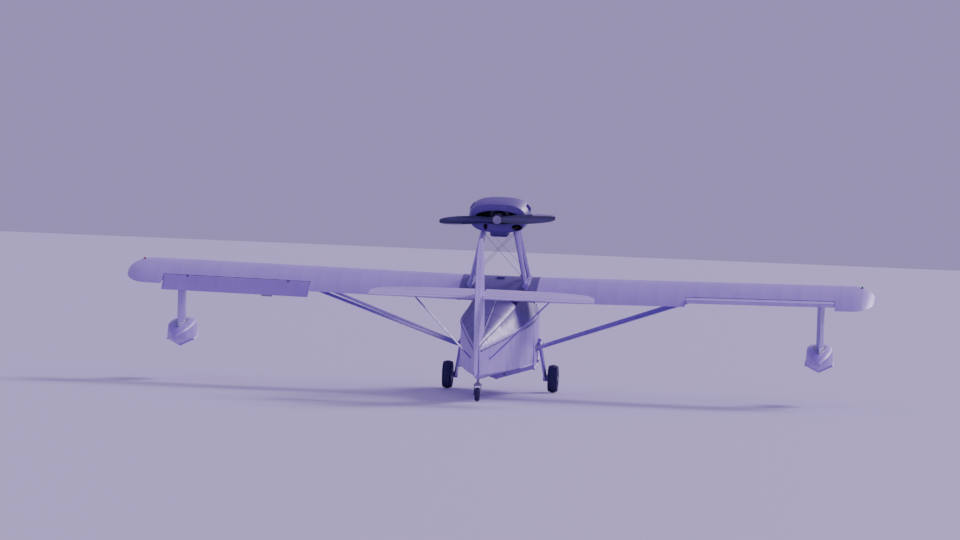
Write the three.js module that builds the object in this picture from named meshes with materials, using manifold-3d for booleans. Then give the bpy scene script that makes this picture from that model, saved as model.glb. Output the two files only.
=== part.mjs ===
// A light two-seat amphibious flying boat, standing on its wheels: a hard-chine wooden hull with one step,
// a strut-braced fabric wing with tip floats, a pusher engine on a pylon over the wing, and a braced tail.
// Millimetres. In the level frame X runs to port, Y aft from the bow and Z up from the keel at the step.

import * as THREE from "three";
import { mergeVertices } from "three/addons/utils/BufferGeometryUtils.js";
import Module from "manifold-3d";

const wasm = await Module();
wasm.setup();

// Driving dimensions
const GROUND_ANGLE = 8; // degrees nose up on the wheels
const SEAT = 0.4; // joint line between two pieces that rest on each other
const HULL_END = 6582;
const BULKHEAD_Y = 2350;
const CABIN_WALL = 30;
const COCKPIT_FLOOR = 330;
const WING = { root: 548, tip: 5550, tipStart: 5200, chord: 1520, leadY: 1901, leadZ: 1330 };
const INCIDENCE = 2.5;
const DIHEDRAL = 0.75;
const AILERON = { inner: 2780, outer: 4950, chord: 360, nose: 44, rest: 18, hinges: [3100, 4600] };
const LIFT_STRUT = { chord: 120, thickness: 0.38, footX: 535, footZ: 420 };
const LIFT_STRUTS = [
  // name, x at the wing, y at the wing, y at the foot
  ["front", 3230, 2190, 2440],
  ["rear", 2940, 2950, 2560],
];
const FLOAT = { x: 4750, y: 2560, pylonFoot: 510, pylonTop: 1440, pylonChord: 600, pylonThickness: 0.18 };
const THRUST_Z = 2490;
const PYLON = { baseX: 410, baseZ: 1400, topX: 230, topZ: THRUST_Z - 190, chord: 150, thickness: 0.42 };
const PYLON_LEGS = [
  // y at the wing, y under the engine
  [2330, 2620],
  [3060, 3120],
];
const PROPELLER = { y: 3565, radius: 850, hub: 75, depth: 70, bore: 25, rest: 4 };
const TAILPLANE_Z = 1750;
const TAIL_HALF = 20; // half the thickness of fin and tailplane, and the nose radius of rudder and elevator
const RUDDER_HINGE_Y = 6610;
const RUDDER_HINGES = [1260, 2350];
const ELEVATOR_HINGE_Y = 6190;
const ELEVATOR_REST = 8; // degrees, trailing edge up
const ELEVATOR = { inner: 50, outer: 1595, chord: 400, tube: 16, hinges: [480, 1300] };
const HINGE = { gap: 8, pin: 6, eye: 13, width: 24, side: 6, root: 24, hold: 8 };
const AXLE = { x: 790, y: 2050, z: -100, radius: 22 };
const MAIN_TYRE = { radius: 210, rim: 118, width: 150, sides: 20 };
const TAIL_TYRE = { radius: 100, rim: 52, width: 66, sides: 16, y: 6310 };
const TAIL_POST = { y: 6250, radius: 20, top: 660, holeBottom: 500, holeTop: 700, sides: 24 };
const LAMP = { x: 5340, chord: 0.3, height: 0.09, radius: 26 }; // lamp on top of each wing tip
const HOIST_PAD = { y: 2450, top: 1478, size: 120 }; // flat pad on the centre section for a lifting sling
const BOW_PAD = { y: 430, top: 812, width: 80, length: 150 }; // flat pad for a mooring cleat

const radians = THREE.MathUtils.degToRad;
const sine = (degrees) => Math.sin(radians(degrees));
const cosine = (degrees) => Math.cos(radians(degrees));
const tangent = (degrees) => Math.tan(radians(degrees));
const at = (x, y, z) => new THREE.Vector3(x, y, z);
const SIDES = [
  { name: "left", side: 1 },
  { name: "right", side: -1 },
];

// Materials
const finish = (color, roughness, metalness = 0) =>
  new THREE.MeshStandardMaterial({ color, roughness, metalness });
const HULL_PAINT = finish(0xcdc8e0, 0.45);
const DOPED_FABRIC = finish(0xc9c3de, 0.6);
const INDIGO_PAINT = finish(0x4a4490, 0.4);
const STRUT_PAINT = finish(0xb4add2, 0.45);
const STEEL = finish(0x8b88a0, 0.35, 0.9);
const ENGINE_METAL = finish(0x2c2850, 0.5, 0.6);
const PROPELLER_PAINT = finish(0x2f2b55, 0.45);
const TYRE_RUBBER = finish(0x242038, 0.85);
const SEAT_CLOTH = finish(0x5d558c, 0.9);
const PANEL_BLACK = finish(0x1e1c30, 0.6);
const CLEAR_GLASS = new THREE.MeshStandardMaterial({
  color: 0xb8c0dc,
  roughness: 0.08,
  transparent: true,
  opacity: 0.35,
});

// Solids from geometries, and back
function toSolid(geometry) {
  const bare = geometry.index ? geometry.toNonIndexed() : geometry.clone();
  for (const name of Object.keys(bare.attributes)) if (name !== "position") bare.deleteAttribute(name);
  const merged = mergeVertices(bare, 1e-3);
  return new wasm.Manifold(
    new wasm.Mesh({
      numProp: 3,
      vertProperties: merged.attributes.position.array,
      triVerts: new Uint32Array(merged.index.array),
    }),
  );
}

function toGeometry(solid) {
  const mesh = solid.getMesh();
  const geometry = new THREE.BufferGeometry();
  geometry.setAttribute("position", new THREE.BufferAttribute(mesh.vertProperties, 3));
  geometry.setIndex(new THREE.BufferAttribute(mesh.triVerts, 1));
  geometry.computeVertexNormals();
  return geometry;
}

// A move, turn or mirror image; a mirror image has its faces turned out again
function moved(solid, matrix) {
  const geometry = toGeometry(solid).applyMatrix4(matrix);
  if (matrix.determinant() < 0) geometry.index.array.reverse();
  return toSolid(geometry);
}

const shifted = (solid, x, y, z) => moved(solid, new THREE.Matrix4().makeTranslation(x, y, z));
const mirrored = (solid) => moved(solid, new THREE.Matrix4().makeScale(-1, 1, 1));
const join = (first, ...others) => others.reduce((whole, other) => whole.add(other), first);
const cut = (first, ...others) => others.reduce((whole, other) => whole.subtract(other), first);

// A solid with the joint line's width round it, to cut what rests against it
function padded(solid) {
  const steps = [at(1, 0, 0), at(0, 1, 0), at(0, 0, 1)].flatMap((step) => [step, step.clone().negate()]);
  return join(...steps.map(({ x, y, z }) => shifted(solid, x * SEAT, y * SEAT, z * SEAT)));
}

function turned(solid, point, axis, degrees) {
  const turn = new THREE.Matrix4().makeTranslation(point.x, point.y, point.z);
  turn.multiply(new THREE.Matrix4().makeRotationAxis(axis.clone().normalize(), radians(degrees)));
  turn.multiply(new THREE.Matrix4().makeTranslation(-point.x, -point.y, -point.z));
  return moved(solid, turn);
}

// A skin through closed rings of equal length, with a flat face across each end
function loft(rings) {
  const count = rings[0].length;
  const triangles = [];
  for (let r = 0; r + 1 < rings.length; r++)
    for (let i = 0; i < count; i++) {
      const next = (i + 1) % count;
      triangles.push([rings[r][i], rings[r][next], rings[r + 1][next]]);
      triangles.push([rings[r][i], rings[r + 1][next], rings[r + 1][i]]);
    }
  for (const first of [true, false]) {
    const ring = first ? rings[0] : rings[rings.length - 1];
    const normal = at(0, 0, 0);
    const arms = ring.map((point) => point.clone().sub(ring[0]));
    arms.forEach((arm, i) => normal.add(arm.clone().cross(arms[(i + 1) % count])));
    const [u, v] = ["x", "y", "z"].sort((a, b) => Math.abs(normal[a]) - Math.abs(normal[b]));
    const outline = ring.map((p) => new THREE.Vector2(p[u], p[v]));
    const backward = THREE.ShapeUtils.isClockWise(outline);
    for (const [a, b, c] of THREE.ShapeUtils.triangulateShape(outline, []))
      triangles.push(first === backward ? [ring[a], ring[b], ring[c]] : [ring[a], ring[c], ring[b]]);
  }
  const volume = triangles.reduce((sum, [a, b, c]) => sum + a.dot(b.clone().cross(c)), 0);
  const points = triangles.flatMap(([a, b, c]) => (volume > 0 ? [a, b, c] : [a, c, b]));
  return toSolid(new THREE.BufferGeometry().setFromPoints(points));
}

function block(width, depth, height, x, y, z) {
  return toSolid(new THREE.BoxGeometry(width, depth, height).translate(x, y, z));
}

function rod(from, to, radius, sides = 12) {
  const along = to.clone().sub(from);
  const geometry = new THREE.CylinderGeometry(radius, radius, along.length(), sides);
  geometry.applyQuaternion(new THREE.Quaternion().setFromUnitVectors(at(0, 1, 0), along.normalize()));
  const middle = from.clone().add(to).divideScalar(2);
  return toSolid(geometry.translate(middle.x, middle.y, middle.z));
}

// What a round hole takes away, its flats clear of a pin of that radius
function bored(from, to, radius, sides = 12) {
  return rod(from, to, (radius + SEAT) / Math.cos(Math.PI / sides), sides);
}

// A round pipe along a smooth curve through the points; each half turn of its section has five sides
function pipe(points, radius, steps = 12) {
  const ring = new THREE.Shape().absarc(0, 0, radius, 0, 2 * Math.PI);
  const path = new THREE.CatmullRomCurve3(points);
  return toSolid(new THREE.ExtrudeGeometry(ring, { extrudePath: path, steps, curveSegments: 5 }));
}

// A shape of revolution about X, from [across, radius] points that start and end on the axis
function revolved(profile, sides) {
  const points = profile.map(([across, radius]) => new THREE.Vector2(radius, across));
  return toSolid(new THREE.LatheGeometry(points, sides).rotateZ(-Math.PI / 2));
}

// A drawing in one view made solid: "side" is drawn aft and up, "front" to port and up
function plate(view, outline, from, to) {
  const shape = new THREE.Shape(outline.map(([u, v]) => new THREE.Vector2(u, v)));
  const geometry = new THREE.ExtrudeGeometry(shape, { depth: to - from, bevelEnabled: false });
  const axes = {
    side: [at(0, 1, 0), at(0, 0, 1), at(1, 0, 0), at(from, 0, 0)],
    front: [at(1, 0, 0), at(0, 0, 1), at(0, -1, 0), at(0, to, 0)],
  };
  const [across, up, out, start] = axes[view];
  geometry.applyMatrix4(new THREE.Matrix4().makeBasis(across, up, out));
  return toSolid(geometry.translate(start.x, start.y, start.z));
}

// An outline drawn anticlockwise, moved out square to its edges
function grown(outline, by) {
  const points = outline.map(([u, v]) => new THREE.Vector2(u, v));
  return points.map((point, i) => {
    const before = points[(i + points.length - 1) % points.length];
    const after = points[(i + 1) % points.length];
    const first = point.clone().sub(before).normalize();
    const second = after.clone().sub(point).normalize();
    const reach = by / (1 + first.dot(second));
    return [point.x + (first.y + second.y) * reach, point.y - (first.x + second.x) * reach];
  });
}

// A row of a table at any place between its rows; the first column is the place
function rowAt(table, place) {
  const next = Math.max(1, table.findIndex((row) => row[0] >= place));
  const [before, after] = [table[next - 1], table[next]];
  const part = (place - before[0]) / (after[0] - before[0]);
  return before.map((value, i) => value + (after[i] - value) * part);
}

// Aerofoil outline as [chord fraction, height fraction], from the trailing edge over the top and back below
function aerofoil(camber, thickness, steps) {
  const upper = [];
  const lower = [];
  for (let i = 0; i <= steps; i++) {
    const c = (1 - Math.cos((Math.PI * i) / steps)) / 2;
    const root = 0.2969 * Math.sqrt(c);
    const half = 5 * thickness * (root - 0.126 * c - 0.3516 * c ** 2 + 0.2843 * c ** 3 - 0.1015 * c ** 4);
    const mean = c < 0.4 ? (camber / 0.16) * (0.8 * c - c * c) : (camber / 0.36) * (0.2 + 0.8 * c - c * c);
    upper.unshift([c, mean + half]);
    lower.push([c, mean - half]);
  }
  return [...upper, ...lower.slice(1)];
}

// A streamlined tube between two points, its chord as near fore-and-aft as it can lie
function faired(from, to, chord, thickness, steps = 6) {
  const along = to.clone().sub(from).normalize();
  const aft = at(0, 1, 0).addScaledVector(along, -along.y).normalize();
  const side = along.clone().cross(aft);
  const section = aerofoil(0, thickness, steps);
  const ring = (centre) =>
    section.map(([c, h]) =>
      centre.clone().addScaledVector(aft, (c - 0.35) * chord).addScaledVector(side, h * chord),
    );
  return loft([ring(from), ring(to)]);
}

// Half-round nose about the hinge line, then a straight taper aft, as [aft, across] points
function flapSection(nose, chord, tail = 3, steps = 6) {
  const points = [[chord, -tail], [chord, tail]];
  for (let i = 0; i <= steps; i++) {
    const angle = 90 + (180 * i) / steps;
    points.push([nose * cosine(angle), nose * sine(angle)]);
  }
  return points;
}

// A flat tail surface with a half-round leading edge and a square back, as [aft, across] points
function finSection(lead, back, half, steps = 6) {
  const points = [[back, -half], [back, half]];
  for (let i = 0; i <= steps; i++) {
    const angle = 90 + (180 * i) / steps;
    points.push([lead + half + half * cosine(angle), half * sine(angle)]);
  }
  return points;
}

// Hinge of a control surface: an eye on the fixed part, in a slot across the nose, round a pin
function hinge(point, along, aft, nose) {
  const frame = new THREE.Matrix4().makeBasis(along, aft, along.clone().cross(aft)).setPosition(point);
  const place = (solid) => moved(solid, frame);
  const across = (half, radius) => rod(at(-half, 0, 0), at(half, 0, 0), radius);
  const reach = nose + HINGE.gap + HINGE.root;
  const slotBack = HINGE.eye + HINGE.side;
  const slotFront = nose + HINGE.side;
  const arm = block(HINGE.width, reach, 2 * HINGE.eye - 4, 0, -reach / 2, 0);
  const slotWidth = HINGE.width + 2 * HINGE.side;
  const slotDepth = slotBack + slotFront;
  return {
    eye: place(join(across(HINGE.width / 2, HINGE.eye), arm)),
    hole: place(bored(at(-HINGE.width, 0, 0), at(HINGE.width, 0, 0), HINGE.pin)),
    slot: place(block(slotWidth, slotDepth, 2 * slotFront + 20, 0, (slotBack - slotFront) / 2, 0)),
    pin: place(across(slotWidth / 2 + HINGE.hold, HINGE.pin)),
  };
}

function addHinges(fixed, flap, hinges) {
  const eyes = hinges.map((h) => cut(h.eye, h.hole));
  const slotted = cut(flap, ...hinges.map((h) => h.slot));
  return [join(fixed, ...eyes), join(slotted, ...hinges.map((h) => h.pin))];
}

// Hull: half-beam and height at the sheer, half-beam and height at the chine, and height of the keel
const HULL = [
  // y, sheer half, sheer z, chine half, chine z, keel z, deck crown
  [0, 40, 705, 30, 625, 560, 10],
  [110, 120, 722, 105, 560, 430, 22],
  [300, 215, 748, 200, 478, 300, 36],
  [620, 342, 788, 335, 372, 160, 46],
  [1000, 448, 828, 448, 276, 62, 50],
  [1140, 475, 840, 478, 252, 42, 40],
  [1500, 520, 862, 525, 206, 14, 0],
  [2100, 545, 890, 555, 182, 0, 0],
  [2850, 540, 922, 555, 176, 0, 0],
  [2853, 540, 922, 540, 262, 108, 0],
  [3400, 500, 946, 505, 322, 180, 0],
  [4200, 392, 982, 415, 412, 292, 0],
  [5200, 248, 1026, 276, 532, 434, 0],
  [6000, 122, 1060, 142, 634, 560, 0],
  [HULL_END, 32, 1084, 44, 710, 650, 0],
];

// Upper body from the windscreen to the fin: sill, shoulder and crown
const UPPER = [
  // y, shoulder half, shoulder z, crown z
  [1130, 400, 862, 884],
  [1300, 378, 1000, 1062],
  [1480, 350, 1128, 1232],
  [1620, 338, 1186, 1318],
  [1760, 335, 1208, 1346],
  [1901, 335, 1218, 1352],
  [2350, 345, 1222, 1356],
  [3421, 318, 1190, 1290],
  [4200, 240, 1150, 1238],
  [5200, 140, 1112, 1180],
  [6000, 62, 1098, 1146],
  [HULL_END, 20, 1094, 1126],
];

function hullRing([y, sheer, sheerZ, chine, chineZ, keelZ, crown]) {
  return [
    at(0, y, keelZ),
    at(chine, y, chineZ),
    at(sheer, y, sheerZ),
    at(0, y, sheerZ + crown),
    at(-sheer, y, sheerZ),
    at(-chine, y, chineZ),
  ];
}

const planked = loft(HULL.map(hullRing));
const hullBody = join(planked, mirrored(planked)); // the twisted bottom planks lie alike on both sides

function upperRing(y, inset, steps = 6) {
  const [, sheer, sheerZ] = rowAt(HULL, y);
  const [, shoulder, shoulderZ, crownZ] = rowAt(UPPER, y);
  const half = [[sheer - 4 - inset, sheerZ - 20]];
  for (let i = 0; i <= steps; i++) {
    const angle = (90 * i) / steps;
    const across = (shoulder - inset) * cosine(angle);
    half.push([across, shoulderZ - inset + (crownZ - shoulderZ) * sine(angle)]);
  }
  const port = half.map(([x, z]) => at(x, y, z));
  const starboard = half.slice(0, -1).reverse();
  return [...port, ...starboard.map(([x, z]) => at(-x, y, z))];
}

function upperLoft(from, to, inset) {
  const between = UPPER.map((row) => row[0]).filter((y) => y > from && y < to);
  return loft([from, ...between, to].map((y) => upperRing(y, inset)));
}

// One layer of the cabin wall between two depths below its outer face
function cabinLayer(outer, inner) {
  const room = upperLoft(1150, BULKHEAD_Y, inner);
  const pulled = join(room, shifted(room, 0, 0, -25), shifted(room, 0, CABIN_WALL, 0));
  return cut(upperLoft(1130, BULKHEAD_Y, outer), pulled);
}

// Wing
const WING_SECTION = aerofoil(0.04, 0.12, 10);
const TIP_AXIS = 0.45; // chord fraction that the rounded tip closes on

function wingPoint(x, c, h) {
  const rise = Math.max(0, Math.abs(x) - WING.root) * tangent(DIHEDRAL);
  const y = WING.leadY + WING.chord * (c * cosine(INCIDENCE) + h * sine(INCIDENCE));
  return at(x, y, WING.leadZ + rise + WING.chord * (h * cosine(INCIDENCE) - c * sine(INCIDENCE)));
}

function wingRing(x) {
  const past = Math.max(0, x - WING.tipStart) / (WING.tip - WING.tipStart);
  const scale = Math.sqrt(1 - past ** 2);
  return WING_SECTION.map(([c, h]) => wingPoint(x, TIP_AXIS + (c - TIP_AXIS) * scale, h * scale));
}

function wingBody() {
  const tipReach = WING.tip - WING.tipStart;
  const tips = [0, 0.4, 0.65, 0.83, 0.94, 0.99].map((part) => WING.tipStart + part * tipReach);
  return loft([WING.root + SEAT, ...tips].map(wingRing));
}

const spanwise = at(cosine(DIHEDRAL), 0, sine(DIHEDRAL));
const AILERON_HINGE = 1 - (AILERON.chord - AILERON.nose) / WING.chord; // chord fraction
const AILERON_RISE = 0.0195; // height of the mean line there, as a fraction of the chord
const aileronHinge = (x) => wingPoint(x, AILERON_HINGE, AILERON_RISE);
const aileronAft = wingPoint(AILERON.inner, 1, 0).sub(aileronHinge(AILERON.inner)).normalize();
const aileronUp = spanwise.clone().cross(aileronAft);

function aileronRing(x) {
  const centre = aileronHinge(x);
  return flapSection(AILERON.nose, AILERON.chord - AILERON.nose).map(([aft, up]) =>
    centre.clone().addScaledVector(aileronAft, aft).addScaledVector(aileronUp, up),
  );
}

// The wing with its aileron bay, and the aileron in line with it
function wingAndAileron() {
  const gap = HINGE.gap;
  const reach = AILERON.nose + gap;
  const [start, end] = [aileronHinge(AILERON.inner - gap), aileronHinge(AILERON.outer + gap)];
  const wall = (point) =>
    [
      [0, -reach],
      [AILERON.chord, -reach],
      [AILERON.chord, reach],
      [0, reach],
    ].map(([aft, up]) => point.clone().addScaledVector(aileronAft, aft).addScaledVector(aileronUp, up));
  const bay = join(rod(start, end, reach, 32), loft([wall(start), wall(end)]));
  const flap = loft([aileronRing(AILERON.inner), aileronRing(AILERON.outer)]);
  const hinges = AILERON.hinges.map((x) => hinge(aileronHinge(x), spanwise, aileronAft, AILERON.nose));
  return addHinges(cut(wingBody(), bay), flap, hinges);
}

// Lift struts, from the wing's spars down to the chine
function liftStrut(x, y, footY) {
  const top = wingPoint(x, (y - WING.leadY) / WING.chord, 0.01);
  const foot = at(LIFT_STRUT.footX, footY, LIFT_STRUT.footZ);
  return faired(foot, top, LIFT_STRUT.chord, LIFT_STRUT.thickness);
}

// Tip float: half-beam and height of deck, chine and keel
const FLOAT_TABLE = [
  // y, deck half, deck z, chine half, chine z, keel z
  [1760, 20, 470, 16, 440, 410],
  [1860, 95, 516, 92, 412, 330],
  [2040, 160, 546, 165, 388, 282],
  [2300, 188, 566, 200, 366, 262],
  [2640, 188, 570, 200, 362, 260],
  [2642, 188, 570, 196, 388, 294],
  [3000, 130, 550, 140, 430, 360],
  [3290, 18, 510, 24, 480, 460],
];

function floatBody() {
  const ring = ([y, deck, deckZ, chine, chineZ, keelZ]) => {
    const half = [[chine, chineZ], [deck, deckZ], [deck * 0.55, deckZ + deck * 0.3]];
    const other = [...half].reverse().map(([x, z]) => [-x, z]);
    return [[0, keelZ], ...half, ...other].map(([x, z]) => at(FLOAT.x + x, y, z));
  };
  return loft(FLOAT_TABLE.map(ring));
}

// Engine nacelle: half-width and half-height of a rounded oblong section
const COWL = [
  // y, half width, half height
  [2400, 180, 95],
  [2450, 300, 150],
  [2560, 388, 196],
  [2760, 436, 224],
  [3180, 440, 228],
  [3400, 418, 214],
  [3485, 392, 198],
];
const COWL_WALL = 12;
const COWL_BOTTOM = THRUST_Z - 228;
const COWL_MOUTH = { z: THRUST_Z + 20, halfWidth: 335, halfHeight: 104, front: 3300, back: 3600 };
const COWL_INTAKE = { halfWidth: 120, halfHeight: 60, front: 2300, back: 2500 };
const AIRBOX = [
  // y, half width, depth below the cowl
  [2700, 118, 78],
  [2760, 134, 94],
  [2900, 140, 100],
  [3140, 132, 90],
  [3260, 90, 30],
];
const AIRBOX_MOUTH = { drop: 40, halfWidth: 92, halfHeight: 28, front: 2640, back: 2790 };

// Engine: crankcase, finned cylinders lying across, and an exhaust for each bank
const CRANKCASE = { half: 140, y: 2900, length: 560, top: THRUST_Z + 120, nose: 48 };
const ENGINE_BED = { width: 560, length: 720, thick: 24, y: 2880 };
const CYLINDER = { stations: [2780, 3020], outer: 352, core: 60, fin: 78, fins: 5, sides: 16 };
const HEAD = { x: 375, width: 50, length: 400, height: 120 };
const EXHAUSTS = [
  // name, side, radius, x where it leaves the cowl, half width and half height of the hole there
  ["left", 1, 20, 175, 32, 48],
  ["right", -1, 24, 285, 80, 48],
];
const EXHAUST = { drop: 120, end: 3500, headX: 370, elbow: 14, straight: 150, spread: 12, sides: 10 };
const COLLECTOR = [
  // x, y, height over the outlet
  [EXHAUST.headX, 2780, 22],
  [350, 2900, 4],
  [340, 3120, 0],
];
const BRANCH = [
  // x, y, height over the outlet
  [EXHAUST.headX, 3020, 16],
  [342, 3090, 2],
];

function cowlRing([y, width, height], inset) {
  const steps = 24;
  const power = 2 / 2.7;
  const bend = (value) => Math.sign(value) * Math.abs(value) ** power;
  return Array.from({ length: steps }, (_, i) => {
    const angle = (360 * (i + 0.5)) / steps;
    const x = (width - inset) * bend(cosine(angle));
    return at(x, y, THRUST_Z + (height - inset) * bend(sine(angle)));
  });
}

function oval(x, z, halfWidth, halfHeight, from, to, sides = 20) {
  const ring = (y) =>
    Array.from({ length: sides }, (_, i) => {
      const angle = (360 * i) / sides;
      return at(x + halfWidth * cosine(angle), y, z + halfHeight * sine(angle));
    });
  return loft([ring(from), ring(to)]);
}

function airbox() {
  const roof = COWL_BOTTOM + 30;
  const ring = ([y, half, depth]) => {
    const floor = COWL_BOTTOM - depth;
    const side = [[half, roof], [half, floor + depth * 0.45], [half * 0.9, floor + depth * 0.15]];
    const low = [half * 0.68, floor];
    const port = [...side, low];
    const starboard = [...port].reverse().map(([x, z]) => [-x, z]);
    return [...port, ...starboard].map(([x, z]) => at(x, y, z));
  };
  const { drop, halfWidth, halfHeight, front, back } = AIRBOX_MOUTH;
  const mouth = oval(0, COWL_BOTTOM - drop, halfWidth, halfHeight, front, back, 16);
  return cut(loft(AIRBOX.map(ring)), mouth);
}

// A finned barrel about X, from the crankcase out to the head
function barrel(y) {
  const inner = CRANKCASE.half + SEAT;
  const pitch = (CYLINDER.outer - inner) / CYLINDER.fins;
  const profile = [[inner, 0]];
  for (let i = 0; i < CYLINDER.fins; i++) {
    const start = inner + i * pitch;
    const middle = start + pitch / 2;
    profile.push([start, CYLINDER.core], [middle, CYLINDER.core]);
    profile.push([middle, CYLINDER.fin], [start + pitch, CYLINDER.fin]);
  }
  profile.push([CYLINDER.outer, 0]);
  return shifted(revolved(profile, CYLINDER.sides), 0, y, THRUST_Z);
}

// Pipes down from both heads of a bank into one that runs aft and out through the cowl
function exhaust(radius, outX) {
  const { headX, elbow, straight, spread, sides } = EXHAUST;
  const portZ = THRUST_Z - HEAD.height / 2 - SEAT;
  const outZ = THRUST_Z - EXHAUST.drop;
  const onRoute = ([x, y, up]) => at(x, y, outZ + up);
  const drop = (y) => rod(at(headX, y, portZ), at(headX, y, outZ + elbow), radius, sides);
  const outlet = [at(outX + spread, EXHAUST.end - straight, outZ), at(outX, EXHAUST.end, outZ)];
  const collector = pipe([...COLLECTOR.map(onRoute), ...outlet], radius);
  const branch = rod(...BRANCH.map(onRoute), radius, sides);
  return join(collector, branch, ...CYLINDER.stations.map(drop));
}

function pylonLegs(side, grow) {
  const chord = PYLON.chord + 2 * grow;
  const thickness = (PYLON.chord * PYLON.thickness + 2 * grow) / chord;
  return PYLON_LEGS.map(([baseY, topY]) =>
    faired(
      at(side * (PYLON.baseX + 5), baseY, PYLON.baseZ),
      at(side * PYLON.topX, topY, PYLON.topZ + grow),
      chord,
      thickness,
    ),
  );
}

function propeller() {
  const section = aerofoil(0, 0.3, 6);
  const stations = [
    // radius, chord, thickness, pitch in degrees
    [30, 96, 62, 42],
    [160, 118, 40, 38],
    [330, 142, 26, 28],
    [560, 136, 18, 19],
    [760, 104, 13, 14],
    [PROPELLER.radius - 12, 62, 9, 12],
    [PROPELLER.radius, 30, 6, 12],
  ];
  const blade = loft(
    stations.map(([radius, chord, thick, pitch]) =>
      section.map(([c, h]) => {
        const along = (c - 0.45) * chord;
        const across = (h / 0.3) * thick;
        const y = PROPELLER.y + along * sine(pitch) + across * cosine(pitch);
        return at(radius, y, THRUST_Z + along * cosine(pitch) - across * sine(pitch));
      }),
    ),
  );
  const centre = at(0, PROPELLER.y, THRUST_Z);
  const half = PROPELLER.depth / 2;
  const hubEnd = (reach) => at(0, PROPELLER.y + reach, THRUST_Z);
  const hub = rod(hubEnd(-half), hubEnd(half), PROPELLER.hub, 24);
  const bore = bored(hubEnd(-half - 5), hubEnd(half - 12), PROPELLER.bore);
  const both = join(hub, blade, turned(blade, centre, at(0, 1, 0), 180));
  return turned(cut(both, bore), centre, at(0, 1, 0), PROPELLER.rest);
}

// Tail surfaces: where the leading edge lies
const TAILPLANE_LEAD = [
  // x, lead y
  [TAIL_HALF + SEAT, 5480],
  [900, 5530],
  [1300, 5620],
  [1500, 5740],
  [1595, 5940],
];
const FIN_LEAD = [
  // z, lead y
  [1060, 5560],
  [1400, 5650],
  [2000, 5860],
  [2400, 6060],
  [2620, 6290],
];
const RUDDER_CHORD = [
  // z, chord aft of the hinge
  [740, 330],
  [900, 480],
  [1200, 575],
  [1750, 600],
  [2250, 525],
  [2520, 400],
  [2630, 230],
];
const FIN_BACK = RUDDER_HINGE_Y - TAIL_HALF - HINGE.gap;
const TAILPLANE_BACK = ELEVATOR_HINGE_Y - TAIL_HALF - HINGE.gap;

function tailplane() {
  const ring = ([x, lead]) =>
    finSection(lead, TAILPLANE_BACK, TAIL_HALF).map(([y, z]) => at(x, y, TAILPLANE_Z + z));
  return loft(TAILPLANE_LEAD.map(ring));
}

function elevatorHalf() {
  const chords = [
    [ELEVATOR.inner, 330],
    [220, ELEVATOR.chord],
    [1350, ELEVATOR.chord - 60],
    [1520, 250],
    [ELEVATOR.outer, 120],
  ];
  const ring = ([x, chord]) =>
    flapSection(TAIL_HALF, chord).map(([y, z]) => at(x, ELEVATOR_HINGE_Y + y, TAILPLANE_Z + z));
  return loft(chords.map(ring));
}

const elevatorHinge = (x) =>
  hinge(at(x, ELEVATOR_HINGE_Y, TAILPLANE_Z), at(1, 0, 0), at(0, 1, 0), TAIL_HALF);

function elevator(hinges) {
  const half = elevatorHalf();
  const centre = (x) => at(x, ELEVATOR_HINGE_Y, TAILPLANE_Z);
  const tube = rod(centre(-ELEVATOR.inner - 10), centre(ELEVATOR.inner + 10), ELEVATOR.tube);
  const slots = hinges.map((h) => h.slot);
  const pins = hinges.map((h) => h.pin);
  const whole = join(cut(join(half, mirrored(half), tube), ...slots), ...pins);
  return turned(whole, centre(0), at(1, 0, 0), ELEVATOR_REST);
}

function fin() {
  const ring = ([z, lead]) => finSection(lead, FIN_BACK, TAIL_HALF).map(([y, x]) => at(x, y, z));
  return loft(FIN_LEAD.map(ring));
}

function rudder() {
  const ring = ([z, chord]) =>
    flapSection(TAIL_HALF, chord).map(([y, x]) => at(x, RUDDER_HINGE_Y + y, z));
  return loft(RUDDER_CHORD.map(ring));
}

// Wheels stand on one line that slopes by the ground angle
const groundDrop = AXLE.z * cosine(GROUND_ANGLE) - AXLE.y * sine(GROUND_ANGLE) - MAIN_TYRE.radius;
const TAIL_AXLE_Z =
  (groundDrop + TAIL_TYRE.radius + TAIL_TYRE.y * sine(GROUND_ANGLE)) / cosine(GROUND_ANGLE);

function tyre({ radius, rim, width, sides }) {
  const half = width / 2;
  const profile = [
    [-half * 0.6, rim + SEAT],
    [-half, rim + (radius - rim) * 0.45],
    [-half * 0.86, radius * 0.93],
    [-half * 0.5, radius],
    [half * 0.5, radius],
    [half * 0.86, radius * 0.93],
    [half, rim + (radius - rim) * 0.45],
    [half * 0.6, rim + SEAT],
    [-half * 0.6, rim + SEAT],
  ];
  return revolved(profile, sides);
}

function rim({ rim: radius, width, sides }, bore) {
  const half = width / 2;
  const profile = [
    [-half * 0.74, bore],
    [-half * 0.74, bore + 16],
    [-half * 0.3, bore + 20],
    [-half * 0.3, radius - 14],
    [-half * 0.58, radius - 12],
    [-half * 0.58, radius],
    [half * 0.58, radius],
    [half * 0.58, radius - 12],
    [half * 0.3, radius - 14],
    [half * 0.3, bore + 20],
    [half * 0.74, bore + 16],
    [half * 0.74, bore],
    [-half * 0.74, bore],
  ];
  return revolved(profile, sides);
}

// Assembly
const airframe = new THREE.Group();
const addPiece = (name, solid, material) => {
  const mesh = new THREE.Mesh(toGeometry(solid), material);
  mesh.name = name;
  airframe.add(mesh);
};
const both = (make) => SIDES.forEach(({ name, side }) => make(name, side));
const oriented = (solid, side) => (side > 0 ? solid : mirrored(solid));

// Centre section
const PAD_DEPTH = 60;
const centreRing = (x) => wingRing(WING.root).map((point) => at(x, point.y, point.z));
const centreSection = loft([-WING.root, WING.root].map(centreRing));
const hoistPadZ = HOIST_PAD.top - PAD_DEPTH / 2;
const hoistPad = block(HOIST_PAD.size, HOIST_PAD.size, PAD_DEPTH, 0, HOIST_PAD.y, hoistPadZ);
addPiece("centre_section", join(centreSection, hoistPad), INDIGO_PAINT);

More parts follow.
